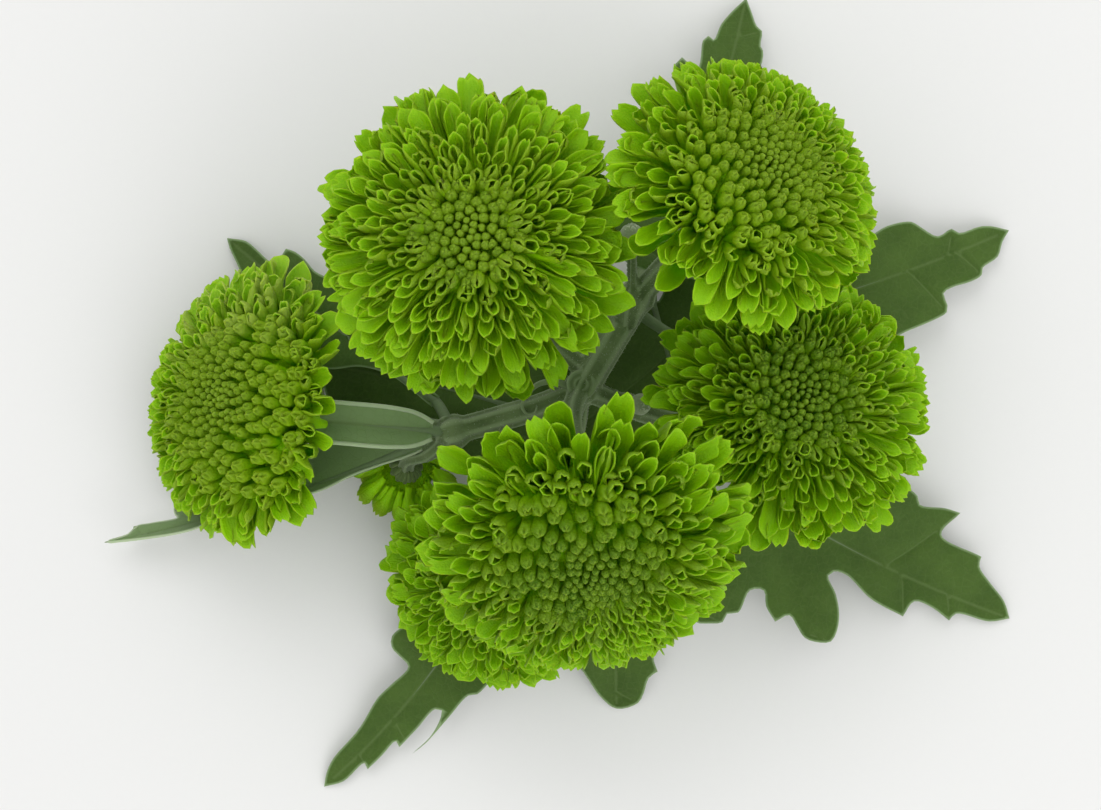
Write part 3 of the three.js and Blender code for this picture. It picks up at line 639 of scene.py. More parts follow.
def makeStem(material):
    rough = newParts()
    centres = []
    for branch in branches:
        route = branchRoute(branch)
        run = np.linspace(0, 1, len(route))
        flare = 1 + stemShape["flare"] * smooth((run - 0.75) / 0.25) if "bloom" in branch else 1.0
        addPart(rough, *tube(route, branch["radius"] * flare, 16))
        along, side, up = routeFrames(route)
        centres.append(np.stack([route, along, side, up], 1))
    for place in stemNodes.values():
        angles = np.radians(np.linspace(-80, 80, 9))
        ball = stemShape["swelling"] * np.stack([np.cos(angles), np.sin(angles)], -1)
        points, faces = turned(ball, 16)
        addPart(rough, points + place, faces)
    points, normals, faces = grownTogether(rough, stemShape["voxel"], stemShape["softening"])

    # ridges that follow the nearest branch, and pith on the cut end
    centres = np.concatenate(centres)
    tree = kdtree.KDTree(len(centres))
    for i, place in enumerate(centres[:, 0]):
        tree.insert(place, i)
    tree.balance()
    nearest = np.array([tree.find(point)[1] for point in points])
    away = points - centres[nearest, 0]
    turn = np.arctan2((away * centres[nearest, 3]).sum(1), (away * centres[nearest, 2]).sum(1))
    ridge = np.cos(stemShape["ridges"] * turn)
    points = points + normals * (stemShape["ridgeHeight"] * ridge)[:, None]
    end = np.array(branches[0]["route"][-1])
    way = unit(end - branches[0]["route"][-2])
    onEnd = (points - end) @ way > -stemShape["pithDepth"]
    beside = np.linalg.norm(points - end, axis=1) < stemShape["pithRadius"]
    parts = newParts()
    addPart(parts, points, [faces], ridge=ridge, pith=onEnd & beside, hair=0.0)
    addHairs(parts, points, normals, stemShape["hairs"], np.random.RandomState(5),
             ridge=1.0, pith=0.0, hair=1.0)

    # the scar of a lost leaf, and the dry curl beside it
    points, faces = turned(stemShape["scar"], 28)
    ring = np.clip(points[:, 2] / 0.4, -1, 1)
    addPart(parts, points + stemShape["scarAt"], faces, ridge=ring, pith=0.0, hair=0.0)
    route = curveThrough(stemShape["curl"], 0.4)
    share = np.linspace(0, 1, len(route))
    points, faces = tube(route, stemShape["curlRadius"] * (1.6 - 1.2 * share), 10)
    addPart(parts, points, faces, ridge=0.6, pith=0.0, hair=0.0)
    makePiece("stemAndBranches", parts, material, "stem", "stem")


# Bracts close over a bud from its foot to its tip. Sizes are parts of the bud's radius.
budShape = {
    "body": [[0.3, -0.95], [0.7, -0.7], [0.93, -0.2], [0.9, 0.25], [0.65, 0.7], [0.3, 0.95], [0.05, 1.0]],
    "rows": [
        {"count": 6, "tip": [0.86, 0.3], "length": 1.5, "width": 1.15, "lean": -8, "curl": -85},
        {"count": 6, "tip": [0.5, 0.84], "length": 2.1, "width": 1.1, "lean": -38, "curl": -115},
        {"count": 5, "tip": [0.22, 1.06], "length": 2.4, "width": 0.9, "lean": -48, "curl": -125},
    ],
    "vary": {"length": 0.08, "width": 0, "lean": 8, "heading": 0.1},
    "draws": 4,
    "detail": "coarse",
    "roll": 95,
    "thickness": 0.14,
    "cutDepth": 0.25,
    "waist": 0.7,
    "rib": 0.02,
}


def makeBud(name, material):
    bud = buds[name]
    branch = next(branch for branch in branches if branch.get("bud") == name)
    way = unit(np.array(bud["at"]) - branch["route"][-1])
    heading, lean = math.atan2(way[1], way[0]), math.acos(way[2])
    stand = {"at": bud["at"], "lean": math.degrees(lean), "toward": math.degrees(heading)}
    parts = newParts()
    points, faces = turned(np.array(budShape["body"]) * bud["radius"], 20)
    addPart(parts, inPlan(stand, points), faces, along=0.6, across=0.0, hollow=0.0, tone=0.5)
    addBracts(parts, stand, budShape, bud["radius"], np.random.RandomState(len(name)))
    makePiece(f"budScales_{name}", parts, material, "buds", f"bud_{name}")


# Leaves. from is where the stalk leaves the stem, root where the blade begins and tip its far end, in plan.
# heights are [part of the length, z]. bow is the midrib's sideways swing, fold the rise of each half
# beside it, and roll the turn of the blade about it, which grows from rollFrom at the root. left and
# right are the cut edges, as distance from the root and distance from the straight root-to-tip line,
# from the root to the tip. pale is how pale and woolly a leaf is, and is partly painted light as well,
# brightening the leaves that lie in the shade of the blooms. rolled is the girth of a rolled margin.
leaves = {
    "leaf_top": {
        "from": stemNodes["upper"], "root": [17, 20], "tip": [31.6, 65.7], "bow": -1,
        "heights": [[0, 19], [0.3, 12], [0.6, 6.5], [0.85, 2.6], [1, 0.6]],
        "left": [
            [0, 1], [0.4, 4.6], [1.4, 8.6], [4.6, 10.2], [8.4, 9.4], [11.2, 7.6], [13, 5], [15.4, 4.6],
            [18, 5.6], [22, 8.2], [25, 7.6], [26, 5.2], [29.5, 6], [33, 7.8], [35.2, 7], [34.2, 5.2],
            [31.5, 4], [35.5, 4], [39, 4.6], [40, 4], [39.6, 3], [42.5, 2.6], [45, 1.6],
        ],
        "right": [
            [0, -1], [6, -1.1], [11, -2.8], [15.5, -6.4], [18.5, -6.2], [21.5, -4.6], [24, -7.6],
            [27.5, -9], [30, -8], [31, -5], [33.5, -3.8], [35, -5], [38.5, -5.5], [40.4, -5.1],
            [41, -4.5], [43.5, -4], [44, -3], [46, -1.5],
        ],
    },
    "leaf_right": {
        "from": [12.5, 15.5, 10.4], "root": [20, 11], "tip": [74, 28.2], "bow": -1.5,
        "heights": [[0, 9], [0.3, 7.5], [0.6, 6], [0.85, 3], [1, 0.8]],
        "left": [
            [0, 1], [9, 1.1], [15, 1.8], [19, 4.5], [22, 8], [25, 8.5], [26.5, 6], [28.5, 5], [31, 5],
            [33.5, 5.5], [37.5, 6.5], [41.5, 6], [42.5, 5], [45, 2.5], [47.5, 3], [48.5, 2], [52, 2],
            [54, 1.5],
        ],
        "right": [
            [0, -1], [9, -1.1], [15, -2], [17.5, -5], [19.5, -9], [22.5, -9.5], [25, -6], [28.5, -5.5],
            [29, -9], [31, -11], [35, -10.5], [40.5, -10], [42.5, -9.5], [43, -8.5], [43, -6.5],
            [44.5, -6], [48, -6], [50, -5.5], [50.5, -4.5], [53.5, -3.5], [55, -1.5],
        ],
    },
    "leaf_low_right": {
        "from": [14.2, -0.8, 15.2], "root": [17.5, -3.4], "tip": [74.2, -34.5], "bow": -2.6,
        "fold": 0.1,
        "heights": [[0, 13.4], [0.3, 8.5], [0.6, 4.6], [0.85, 1.6], [1, 0]],
        "left": [
            [0, 1.2], [8, 1.4], [15, 2.5], [19, 7], [23, 11.5], [27, 13], [29, 10.5], [29.5, 7.5],
            [33, 8.5], [36, 10.3], [38.5, 10.5], [41.5, 10], [42.5, 9], [46.5, 10.5], [49, 11],
            [48, 6.5], [55.5, 6.5], [56, 5], [59, 3.5], [62.5, 2],
        ],
        "right": [
            [0, -1.2], [8, -1.4], [15, -2.6], [20, -4.5], [22, -6.5], [19, -8.5], [16, -12], [15, -17],
            [16, -22], [19.5, -24.5], [22, -23.5], [23.5, -22.5], [23.5, -21], [25, -20], [25, -16],
            [27, -15], [28.5, -17], [31, -18.5], [32.5, -16.5], [34.5, -17.5], [36.5, -18.5], [39, -18],
            [40.5, -17], [40.5, -15], [39.5, -12.5], [37.5, -10], [35, -8], [35.5, -7], [37.5, -6.5],
            [43, -8], [49, -8], [49.5, -5], [52.5, -4.5], [56, -5], [56.5, -3.5], [62, -2],
        ],
    },
    "leaf_bottom": {
        "from": [3.9, -5, 14.2], "root": [7.5, -8], "tip": [10.7, -49.1], "bow": 0.6,
        "heights": [[0, 9.8], [0.3, 6], [0.6, 4.4], [0.85, 2], [1, 0]],
        "left": [
            [0, 1], [8, 1.1], [13, 3], [17, 6.5], [20, 7], [22, 5], [25, 5.5], [29, 8.5], [31, 8],
            [33, 6.5], [35.5, 7], [36.5, 5.5], [39, 4.5], [40.5, 3.5],
        ],
        "right": [
            [0, -1], [6, -1.1], [11, -2.2], [15, -5], [17, -8.5], [20, -9], [23, -5.5], [26, -5],
            [28, -7], [30.5, -9.8], [33, -9.5], [34, -5.5], [35.5, -4.5], [39, -2.5],
        ],
    },
    "leaf_low_left": {
        "from": [-1.6, -17.3, 4.1], "root": [-5, -18.4], "tip": [-36.6, -61.7], "bow": 3,
        "fold": 0.1,
        "heights": [[0, 3.6], [0.3, 4.4], [0.6, 3.4], [0.85, 1.4], [1, 0]],
        "left": [
            [0, 1], [8, 2.6], [13, 6], [17, 10.5], [20, 12], [23.5, 11.5], [26.5, 11], [27.5, 10],
            [32.5, 9.5], [38, 9], [40.5, 8.3], [36.5, 9], [33, 8.5], [32, 8], [32.5, 7], [37, 6.5],
            [41, 6], [40.5, 5], [44, 4.5], [47, 4], [46.5, 3], [51, 2],
        ],
        "right": [
            [0, -1], [7, -1.5], [11, -5], [15, -8], [18, -7.5], [20, -4.5], [23, -4.5], [27, -5.5],
            [28.5, -4.5], [29, -2.5], [29.5, -0.5], [33.5, -1], [36.5, -1.5], [42.5, -1], [49, -1.5],
            [51.5, -1],
        ],
    },
    "leaf_left": {
        "from": stemNodes["left"], "root": [-19.6, -5.8], "tip": [-71.4, -22.5], "bow": 1.6,
        "fold": 0.1, "roll": 62, "rollFrom": 10, "pale": 0.9, "rolled": 0.2,
        "heights": [[0, 17], [0.25, 13.2], [0.5, 9.4], [0.75, 6.6], [1, 4]],
        "left": [
            [0, 1], [3, 1.4], [8, 1.5], [13, 2], [18, 3.6], [22, 4.2], [26.4, 4.8], [30.4, 6.7],
            [34.4, 6.2], [36.4, 3.8], [40.4, 4], [43.4, 3.6], [47.4, 2.5], [51.4, 1.2],
        ],
        "right": [
            [0, -1], [3, -2.2], [8, -4], [12, -5.8], [15, -7.2], [18, -7.2], [22, -5.4], [26.4, -5],
            [32.4, -6], [36.4, -6.4], [41.4, -6.6], [42.4, -3], [41.9, -1], [45.4, -1.4],
            [49.4, -2.1], [49.9, -0.6],
        ],
    },
    "leaf_top_left": {
        "from": stemNodes["left"], "root": [-18, 0.5], "tip": [-52.3, 27], "bow": 0.6,
        "heights": [[0, 14.5], [0.3, 9], [0.6, 4.6], [0.85, 1.6], [1, 0]],
        "left": [
            [0, 1], [8, 1.1], [13, 3], [17, 6.5], [21, 7.5], [23, 5.5], [25, 4.2], [28, 6], [32, 6.5],
            [35, 4.5], [38, 3], [40, 2], [42, 1],
        ],
        "right": [
            [0, -1], [9, -1.3], [13, -4], [16, -7], [20, -7], [23, -4.2], [25, -5], [28.5, -4.5],
            [31, -5], [33, -5], [34.5, -4.5], [34.5, -1.5], [38.5, -1.5], [40.5, -1.5],
        ],
    },
    "leaf_under_left": {
        "from": [4.2, -2.2, 16], "root": [1.5, -2.5], "tip": [-37, 6.5], "bow": -0.8,
        "fold": 0.1,
        "heights": [[0, 12.4], [0.3, 7.6], [0.6, 4], [0.85, 1.8], [1, 0.8]],
        "left": [
            [0, 1], [-0.6, 5], [0.6, 9.4], [3.5, 11.4], [7, 11], [11, 10.8], [15, 10.6], [18, 8.8],
            [19.4, 5.6], [23, 5.4], [26, 6.4], [29.5, 7.4], [33, 7.2], [36.4, 6], [38.6, 2.8],
        ],
        "right": [
            [0, -1], [-0.8, -5], [0.2, -9.6], [3, -12.4], [7, -12.8], [11, -11.6], [14, -10.6],
            [16, -8.4], [19, -9], [23, -11.6], [28, -13.4], [32.5, -13], [34.5, -9.6], [35.6, -5],
            [37.4, -1.8],
        ],
    },
    "leaf_under_right": {
        "from": [16.4, 22.4, 4.6], "root": [16.4, 16.5], "tip": [23.5, -17], "bow": 0.8,
        "fold": 0.1,
        "heights": [[0, 3.6], [0.3, 3.4], [0.6, 2.6], [0.85, 1.4], [1, 0.6]],
        "left": [
            [0, 1], [-2.6, 3.6], [-2.4, 7.4], [1.5, 9.4], [6, 9.6], [10, 9.6], [13, 9], [14, 6],
            [17, 6.8], [21, 8.6], [24, 8], [25.5, 4.6], [28, 4.4], [32, 2],
        ],
        "right": [
            [0, -1], [-3, -4], [-5.6, -8.4], [-5, -12.6], [-1, -14.8], [4, -14.8], [9, -14.4], [13, -15.6],
            [17.5, -17], [20.6, -15.6], [21.6, -11], [24, -9.6], [25.6, -7.6], [26.4, -4.6],
            [29, -3.8], [32, -1.6],
        ],
    },
    "leaf_channelled": {
        "from": stemNodes["left"], "root": [-18.2, -4, 22], "tip": [-37.2, -2.3], "bow": 0,
        "fold": 0.42,
        "heights": [[0, 22.4], [0.5, 23], [1, 22.6]],
        "pale": 1.0, "rolled": 0.34,
        "left": [[0, 1.3], [2.5, 2.5], [6, 3], [12, 3.1], [17.4, 2.8], [18.8, 1.6]],
        "right": [[0, -1.3], [2.5, -2.5], [6, -3], [12, -3.1], [17.4, -2.8], [18.8, -1.6]],
    },
}
leafShape = {
    "fold": 0.12,            # for a leaf that gives none
    "rollReach": 0.45,       # part of the length over which the roll grows
    "top": 0.62,             # height of the upper skin over the leaf's under side
    "thickness": 0.4,
    "edgeThickness": 0.16,
    "veinDepth": 0.2,        # how far veins sink in the upper skin
    "veinRise": 0.28,        # and how far they stand out below
    "swell": 0.22,           # rise of the flesh between veins
    "ripple": 0.5,           # height of the waves at the edge
    "rippleLengths": [3.1, 5.3],
    "toothTurn": 62,         # degrees that the outline turns at a sharp tooth
    "veinTurn": 38,          # and at any that a vein runs to,
    "leastTooth": 1.8,       # if it is as far out as this
    "midribHalf": 0.5,       # half the width of the midrib,
    "veinHalf": 0.28,        # and of a side vein
    "edgeSpacing": 0.8,
    "innerSpacing": 1.35,
    "leastSpacing": 0.36,
    "inset": 0.45,           # the row of points just inside the edge
    "stalk": [1.0, 0.2],     # its radius at the stem and at the tip
}


# Height along a leaf through its [part, height] pairs
def heightAlong(pairs, part):
    places, levels = np.array(pairs, float).T
    part = np.clip(part, 0, 1)
    k = np.clip(np.searchsorted(places, part), 1, len(places) - 1)
    t = (part - places[k - 1]) / (places[k] - places[k - 1])
    padded = np.concatenate([levels[:1], levels, levels[-1:]])
    before, start, end, after = (padded[k + step] for step in (-1, 0, 1, 2))
    return cubic(t, start, end, (end - before) / 2, (after - start) / 2)


def leafLength(leaf):
    return math.dist(leaf["root"][:2], leaf["tip"])


def midribAt(leaf, u):
    part = u / leafLength(leaf)
    return 4 * leaf["bow"] * part * (1 - part)


# Places flat blade points (distance along, distance beside) along the bent midrib
def leafPlaces(leaf, flat, rise):
    u, v = flat.T
    start = np.array(leaf["root"][:2], float)
    run = unit(np.array(leaf["tip"]) - start)
    left = np.array([-run[1], run[0]])
    grown = smooth(u / leafLength(leaf) / leafShape["rollReach"])
    turn = leaf.get("rollFrom", 0)
    turn = np.radians(turn + (leaf.get("roll", 0) - turn) * grown)
    side = v - midribAt(leaf, u)
    lift = rise + leaf.get("fold", leafShape["fold"]) * np.abs(side)
    level = midribAt(leaf, u) + side * np.cos(turn) - lift * np.sin(turn)
    z = heightAlong(leaf["heights"], u / leafLength(leaf)) + side * np.sin(turn) + lift * np.cos(turn)
    plan = start + u[:, None] * run + level[:, None] * left
    return np.column_stack([plan, np.maximum(z, rise * np.cos(turn))])


# The leaf's edge as one loop, smooth between its sharp teeth, and the tips of those teeth
def leafOutline(leaf):
    corners = np.array(leaf["right"] + [[leafLength(leaf), 0]] + leaf["left"][::-1], float)
    before, after = unit(corners[1:-1] - corners[:-2]), unit(corners[2:] - corners[1:-1])
    turning = np.degrees(np.arctan2(before[:, 0] * after[:, 1] - before[:, 1] * after[:, 0],
                                    (before * after).sum(1)))
    sharp = [0, *(np.flatnonzero(turning > leafShape["toothTurn"]) + 1), len(corners) - 1]
    runs = [curveThrough(corners[start : end + 1], leafShape["edgeSpacing"])[:-1]
            for start, end in zip(sharp[:-1], sharp[1:])]
    teeth = corners[1:-1][turning > leafShape["veinTurn"]]
    return np.concatenate(runs + [corners[-1:]]), teeth


def distanceTo(points, line):
    start, run = line[:-1], line[1:] - line[:-1]
    share = ((points[:, None] - start) * run).sum(-1) / np.maximum((run * run).sum(-1), 1e-9)
    near = start + np.clip(share, 0, 1)[..., None] * run
    return np.linalg.norm(points[:, None] - near, axis=-1).min(1)


def isWithin(points, loop):
    start, end = loop, np.roll(loop, -1, axis=0)
    x, y = points[:, 0, None], points[:, 1, None]
    crossing = (start[:, 1] > y) != (end[:, 1] > y)
    rise = np.where(end[:, 1] == start[:, 1], 1e-9, end[:, 1] - start[:, 1])
    at = start[:, 0] + (y - start[:, 1]) * (end[:, 0] - start[:, 0]) / rise
    return (crossing & (x < at)).sum(1) % 2 == 1


# Midrib and side veins, each to the tip of a tooth, as (line, half width)
def leafVeins(leaf, teeth):
    length = leafLength(leaf)
    along = np.linspace(0, 0.98 * length, 40)
    veins = [(np.column_stack([along, midribAt(leaf, along)]), leafShape["midribHalf"])]
    branching = veins[0][0][2:]
    for tooth in sorted(teeth, key=lambda place: -abs(place[1])):
        if abs(tooth[1]) < leafShape["leastTooth"]:
            continue
        # the vein leaves another where that makes it short, and slants towards the tip
        away = tooth - branching
        reach = np.linalg.norm(away, axis=1)
        backward = np.maximum(0.45 * reach - away[:, 0], 0)
        root = branching[np.argmin(reach + 2.5 * backward)]
        t = np.linspace(0, 0.94, 14)[:, None]
        bent = root + (tooth - root) * np.column_stack([t[:, 0], t[:, 0] ** 1.15])
        veins.append((bent, leafShape["veinHalf"]))
        branching = np.concatenate([branching, bent[3:]])
    return veins


def farFrom(points, others, room):
    return points[np.linalg.norm(points[:, None] - others, axis=-1).min(1) > room]


def makeLeaf(name, material):
    leaf = leaves[name]
    length = leafLength(leaf)
    draw = np.random.RandomState(sum(map(ord, name)))
    phase = draw.uniform(0, 6.3, 4)
    edge, teeth = leafOutline(leaf)
    loop = np.vstack([edge, edge[:1]])
    veins = leafVeins(leaf, teeth)

    # points: the edge, a row just inside it, rows on the veins, and an even field between
    run = unit(np.roll(edge, -1, axis=0) - np.roll(edge, 1, axis=0))
    inset = edge + leafShape["inset"] * np.column_stack([-run[:, 1], run[:, 0]])
    inset = inset[isWithin(inset, edge)]
    inset = inset[distanceTo(inset, loop) > leafShape["leastSpacing"]]
    points = np.concatenate([edge, inset])
    for line, width in veins:
        way = unit(np.gradient(line, axis=0))
        across = np.column_stack([-way[:, 1], way[:, 0]])
        for shift in (0, -1.3 * width, 1.3 * width):
            extra = curveThrough(line[::3] + shift * across[::3], 1.0)
            extra = farFrom(extra[isWithin(extra, edge)], points, leafShape["leastSpacing"])
            points = np.concatenate([points, extra])
    step, halfWidth = leafShape["innerSpacing"], 26
    rows, columns = np.mgrid[-int(halfWidth / step) : int(halfWidth / step), 0 : int(length * 1.1 / step)]
    field = np.column_stack([((columns + 0.5 * (rows % 2)) * step).ravel(), (rows * step * 0.87).ravel()])
    field = field + draw.uniform(-0.2, 0.2, field.shape)
    field = farFrom(field[isWithin(field, edge)], points, 0.7 * step)
    points = np.concatenate([points, field])
    border = [(i, (i + 1) % len(edge)) for i in range(len(edge))]
    flat, _, skin = geometry.delaunay_2d_cdt([Vector(p) for p in points], border, [], 1, 1e-4)[:3]
    flat, skin = np.array([tuple(p) for p in flat]), np.array(skin)

    # shape of the two skins
    fromEdge = distanceTo(flat, loop)
    groove, nearVein = np.zeros(len(flat)), np.full(len(flat), 9.0)
    for line, width in veins:
        away = distanceTo(flat, line)
        wide = width * (1 - 0.6 * np.clip(flat[:, 0] / length, 0, 1))
        groove = np.maximum(groove, np.exp(-((away / wide) ** 2)))
        nearVein = np.minimum(nearVein, away)
    side = np.abs(flat[:, 1] - midribAt(leaf, flat[:, 0]))
    thin = smooth(fromEdge / 1.2)
    short, long = leafShape["rippleLengths"]
    ripple = np.sin(flat[:, 0] / short + phase[0]) + np.sin(flat[:, 0] / long + flat[:, 1] / 4 + phase[1])
    ripple = leafShape["ripple"] * 0.5 * ripple * smooth(side / 9) * smooth((length - flat[:, 0]) / 8)
    bulge = leafShape["swell"] * smooth(nearVein / 1.6) * thin
    top = leafShape["top"] + bulge + np.maximum(ripple, -0.35) - leafShape["veinDepth"] * groove
    thickness = leafShape["edgeThickness"] + (leafShape["thickness"] - leafShape["edgeThickness"]) * thin
    bottom = top - thickness - leafShape["veinRise"] * groove * thin
    upper, under = leafPlaces(leaf, flat, top), leafPlaces(leaf, flat, bottom)
    directed = np.concatenate([skin[:, [0, 1]], skin[:, [1, 2]], skin[:, [2, 0]]])
    known = {tuple(pair) for pair in directed}
    rim = np.array([pair for pair in known if pair[::-1] not in known])
    count = len(flat)
    wall = np.column_stack([rim[:, 1], rim[:, 0], rim[:, 0] + count, rim[:, 1] + count])
    parts = newParts()
    addPart(parts, np.concatenate([upper, under]), [skin, skin[:, ::-1] + count, wall],
            vein=np.tile(groove, 2), edge=np.tile(fromEdge, 2), under=np.repeat([0.0, 1.0], count),
            pale=leaf.get("pale", 0.0), rolled=0.0)
    if "rolled" in leaf:
        middleOfEdge = leafShape["top"] - 0.5 * leafShape["edgeThickness"]
        margin = curveThrough(leafPlaces(leaf, edge[::2], middleOfEdge), 0.5)
        points, faces = tube(margin, leaf["rolled"], 8)
        addPart(parts, points, faces, vein=0.0, edge=0.0, under=0.0, pale=1.0, rolled=1.0)

    # stalk, which runs on beneath the blade as the midrib
    u = np.linspace(0, 0.9 * length, 30)
    rib = leafPlaces(leaf, np.column_stack([u, midribAt(leaf, u)]), 0.12)
    route = curveThrough(np.vstack([leaf["from"], rib]), 0.8)
    share = np.linspace(0, 1, len(route))
    thick, slim = leafShape["stalk"]
    points, faces = tube(route, slim + (thick - slim) * (1 - share) ** 1.6, 10)
    addPart(parts, points, faces, vein=0.8, edge=3.0, under=1.0, pale=leaf.get("pale", 0.0), rolled=0.0)
    makePiece(name.replace("leaf_", "leafBlade_"), parts, material, "leaves", name)


def newMaterial(name, roughness, **fixed):
    material = bpy.data.materials.new(name)
    material.use_nodes = True
    shader = material.node_tree.nodes["Principled BSDF"]
    shader.inputs["Roughness"].default_value = roughness
    for key, value in fixed.items():
        shader.inputs[key.replace("_", " ")].default_value = value
    return material, material.node_tree, shader


def addNode(tree, kind, inputs=(), **settings):
    node = tree.nodes.new(kind)
    for key, value in settings.items():
        setattr(node, key, value)
    for key, value in dict(inputs).items():
        if isinstance(value, bpy.types.NodeSocket):
            tree.links.new(value, node.inputs[key])
        else:
            node.inputs[key].default_value = value
    return node


def readings(tree, *names):
    return [addNode(tree, "ShaderNodeAttribute", attribute_name=name).outputs["Fac"] for name in names]


def sums(tree, operation, first, second=0.0):
    return addNode(tree, "ShaderNodeMath", {0: first, 1: second}, operation=operation).outputs[0]


def times(tree, first, second):
    return sums(tree, "MULTIPLY", first, second)


def between(tree, value, low, high):
    node = addNode(tree, "ShaderNodeMapRange", {"Value": value, "From Min": low, "From Max": high})
    node.interpolation_type = "SMOOTHSTEP"
    return node.outputs["Result"]


def mixed(tree, share, first, second):
    colours = [(*colour, 1.0) if isinstance(colour, tuple) else colour for colour in (first, second)]
    node = addNode(tree, "ShaderNodeMix", {0: share, 6: colours[0], 7: colours[1]}, data_type="RGBA")
    return node.outputs[2]


# The colour with another laid over it where the mask is 1, up to the share
def overlaid(tree, colour, other, share, mask):
    return mixed(tree, times(tree, mask, share), colour, other)


# Blotches, so many to a metre
def noise(tree, scale, detail):
    place = addNode(tree, "ShaderNodeTexCoord").outputs["Object"]
    made = addNode(tree, "ShaderNodeTexNoise", {"Vector": place, "Scale": scale, "Detail": detail})
    return made.outputs["Fac"]


def addBump(tree, shader, relief, strength, height):
    bump = addNode(tree, "ShaderNodeBump", {"Strength": strength, "Distance": height * millimetre,
                                            "Height": relief})
    tree.links.new(bump.outputs["Normal"], shader.inputs["Normal"])


floretFinish = {
    # painted light: a bright green for the hollows and feet of the florets, standing in for light that
    # shines through the flesh into the shade there
    "deep": (0.28, 0.6, 0.0),
    "middle": (0.108, 0.222, 0.0004),
    "young": (0.048, 0.132, 0.0002),
    "tip": (0.212, 0.35, 0.006),
    # pale colour of the floret margins, partly a real pale rim and partly painted rim highlight; also the
    # colour of the painted glints
    "edge": (0.225, 0.385, 0.02),
    # painted highlight: pale colour on the tips of the florets
    "top": (0.265, 0.4, 0.05),
    # painted light: the pale colour painted on the side of a bloom towards the key lamp
    "paintedSideLight": (0.37, 0.49, 0.08),
    "roughness": 0.5,
    "glow": 0.6,             # share of light that passes through the flesh
    "glowReach": 0.0007,     # and how far, in metres
    "grainSize": 0.3,        # millimetres
    "blotches": 420.0,       # to a metre
    "edgeBlotches": 700.0,
    "stripes": 34.0,
}


def floretMaterial():
    look = floretFinish
    material, tree, shader = newMaterial(
        "softLimePetal", look["roughness"], Subsurface_Weight=look["glow"],
        Subsurface_Scale=look["glowReach"], Subsurface_Radius=(0.95, 1.0, 0.2), Specular_IOR_Level=0.13)
    along, across, tone, reach, hollow = readings(tree, "along", "across", "tone", "reach", "hollow")
    young = between(tree, reach, 0.7, 0.2)
    colour = mixed(tree, young, look["middle"], look["young"])
    broad = noise(tree, look["blotches"], 2.0)
    # the tone also carries the painted side light, so this mix paints that side paler too
    shade = sums(tree, "ADD", tone, times(tree, broad, 0.5))
    colour = overlaid(tree, colour, look["tip"], 0.75, between(tree, shade, 0.1, 1.1))
    # painted light: a pale colour where the tone runs high, which only the painted side light reaches
    colour = overlaid(tree, colour, look["paintedSideLight"], 0.8, between(tree, tone, 0.95, 1.6))
    grain = between(tree, noise(tree, 1 / (look["grainSize"] * millimetre), 2.0), 0.36, 0.66)
    # painted highlight: pale grains on the young florets near the middle, standing in for glints on their
    # grainy skin
    paintedGlints = times(tree, grain, times(tree, young, 0.45))
    colour = mixed(tree, paintedGlints, colour, look["edge"])
    # painted highlight: the last part of every floret towards its tip is painted paler, with grains in it
    paintedTipHighlight = times(tree, between(tree, along, 0.86, 1.0),
                sums(tree, "ADD", times(tree, grain, 0.35), 0.15))
    colour = mixed(tree, paintedTipHighlight, colour, look["top"])
    # painted light: the hollow side and the lower part of each floret are painted bright green, for light
    # passing through the flesh into the shade between florets
    paintedHollowLight = times(tree, hollow, 0.6)
    paintedHollowLight = sums(tree, "MAXIMUM", paintedHollowLight, between(tree, along, 0.92, 0.45))
    colour = mixed(tree, paintedHollowLight, colour, look["deep"])
    # pale margins along the sides and tips of the florets beyond the closed middle, partly a real pale rim
    # and partly painted rim highlight
    side = sums(tree, "ABSOLUTE", across)
    edge = sums(tree, "MAXIMUM", between(tree, side, 0.86, 1.0), between(tree, along, 0.96, 1.0))
    edge = times(tree, edge, between(tree, reach, 0.36, 0.6))
    edge = times(tree, edge, between(tree, noise(tree, look["edgeBlotches"], 2.0), 0.35, 0.75))
    colour = overlaid(tree, colour, look["edge"], 0.45, edge)
    tree.links.new(colour, shader.inputs["Base Color"])
    stripe = sums(tree, "SINE", times(tree, across, look["stripes"]))
    rough = times(tree, grain, sums(tree, "ADD", young, 0.35))
    addBump(tree, shader, sums(tree, "ADD", times(tree, stripe, 0.1), rough), 0.7, 0.16)
    return material


leafFinish = {
    "deep": (0.041, 0.086, 0.0095),
    "middle": (0.065, 0.124, 0.017),
    "vein": (0.12, 0.19, 0.055),
    # pale colours of the leaf edges and rolled margins, partly the real woolly margin and partly painted
    # rim light
    "edge": (0.27, 0.37, 0.19),
    "under": (0.16, 0.22, 0.12),
    # pale woolly colour, partly painted light for leaves that lie in the blooms' shadow
    "pale": (0.2, 0.3, 0.125),
    "margin": (0.46, 0.56, 0.36),
    "roughness": 0.72,
    "netSize": 1.3,          # millimetres between the finest veins
    "blotches": 130.0,       # to a metre
    "felt": 2200.0,
}


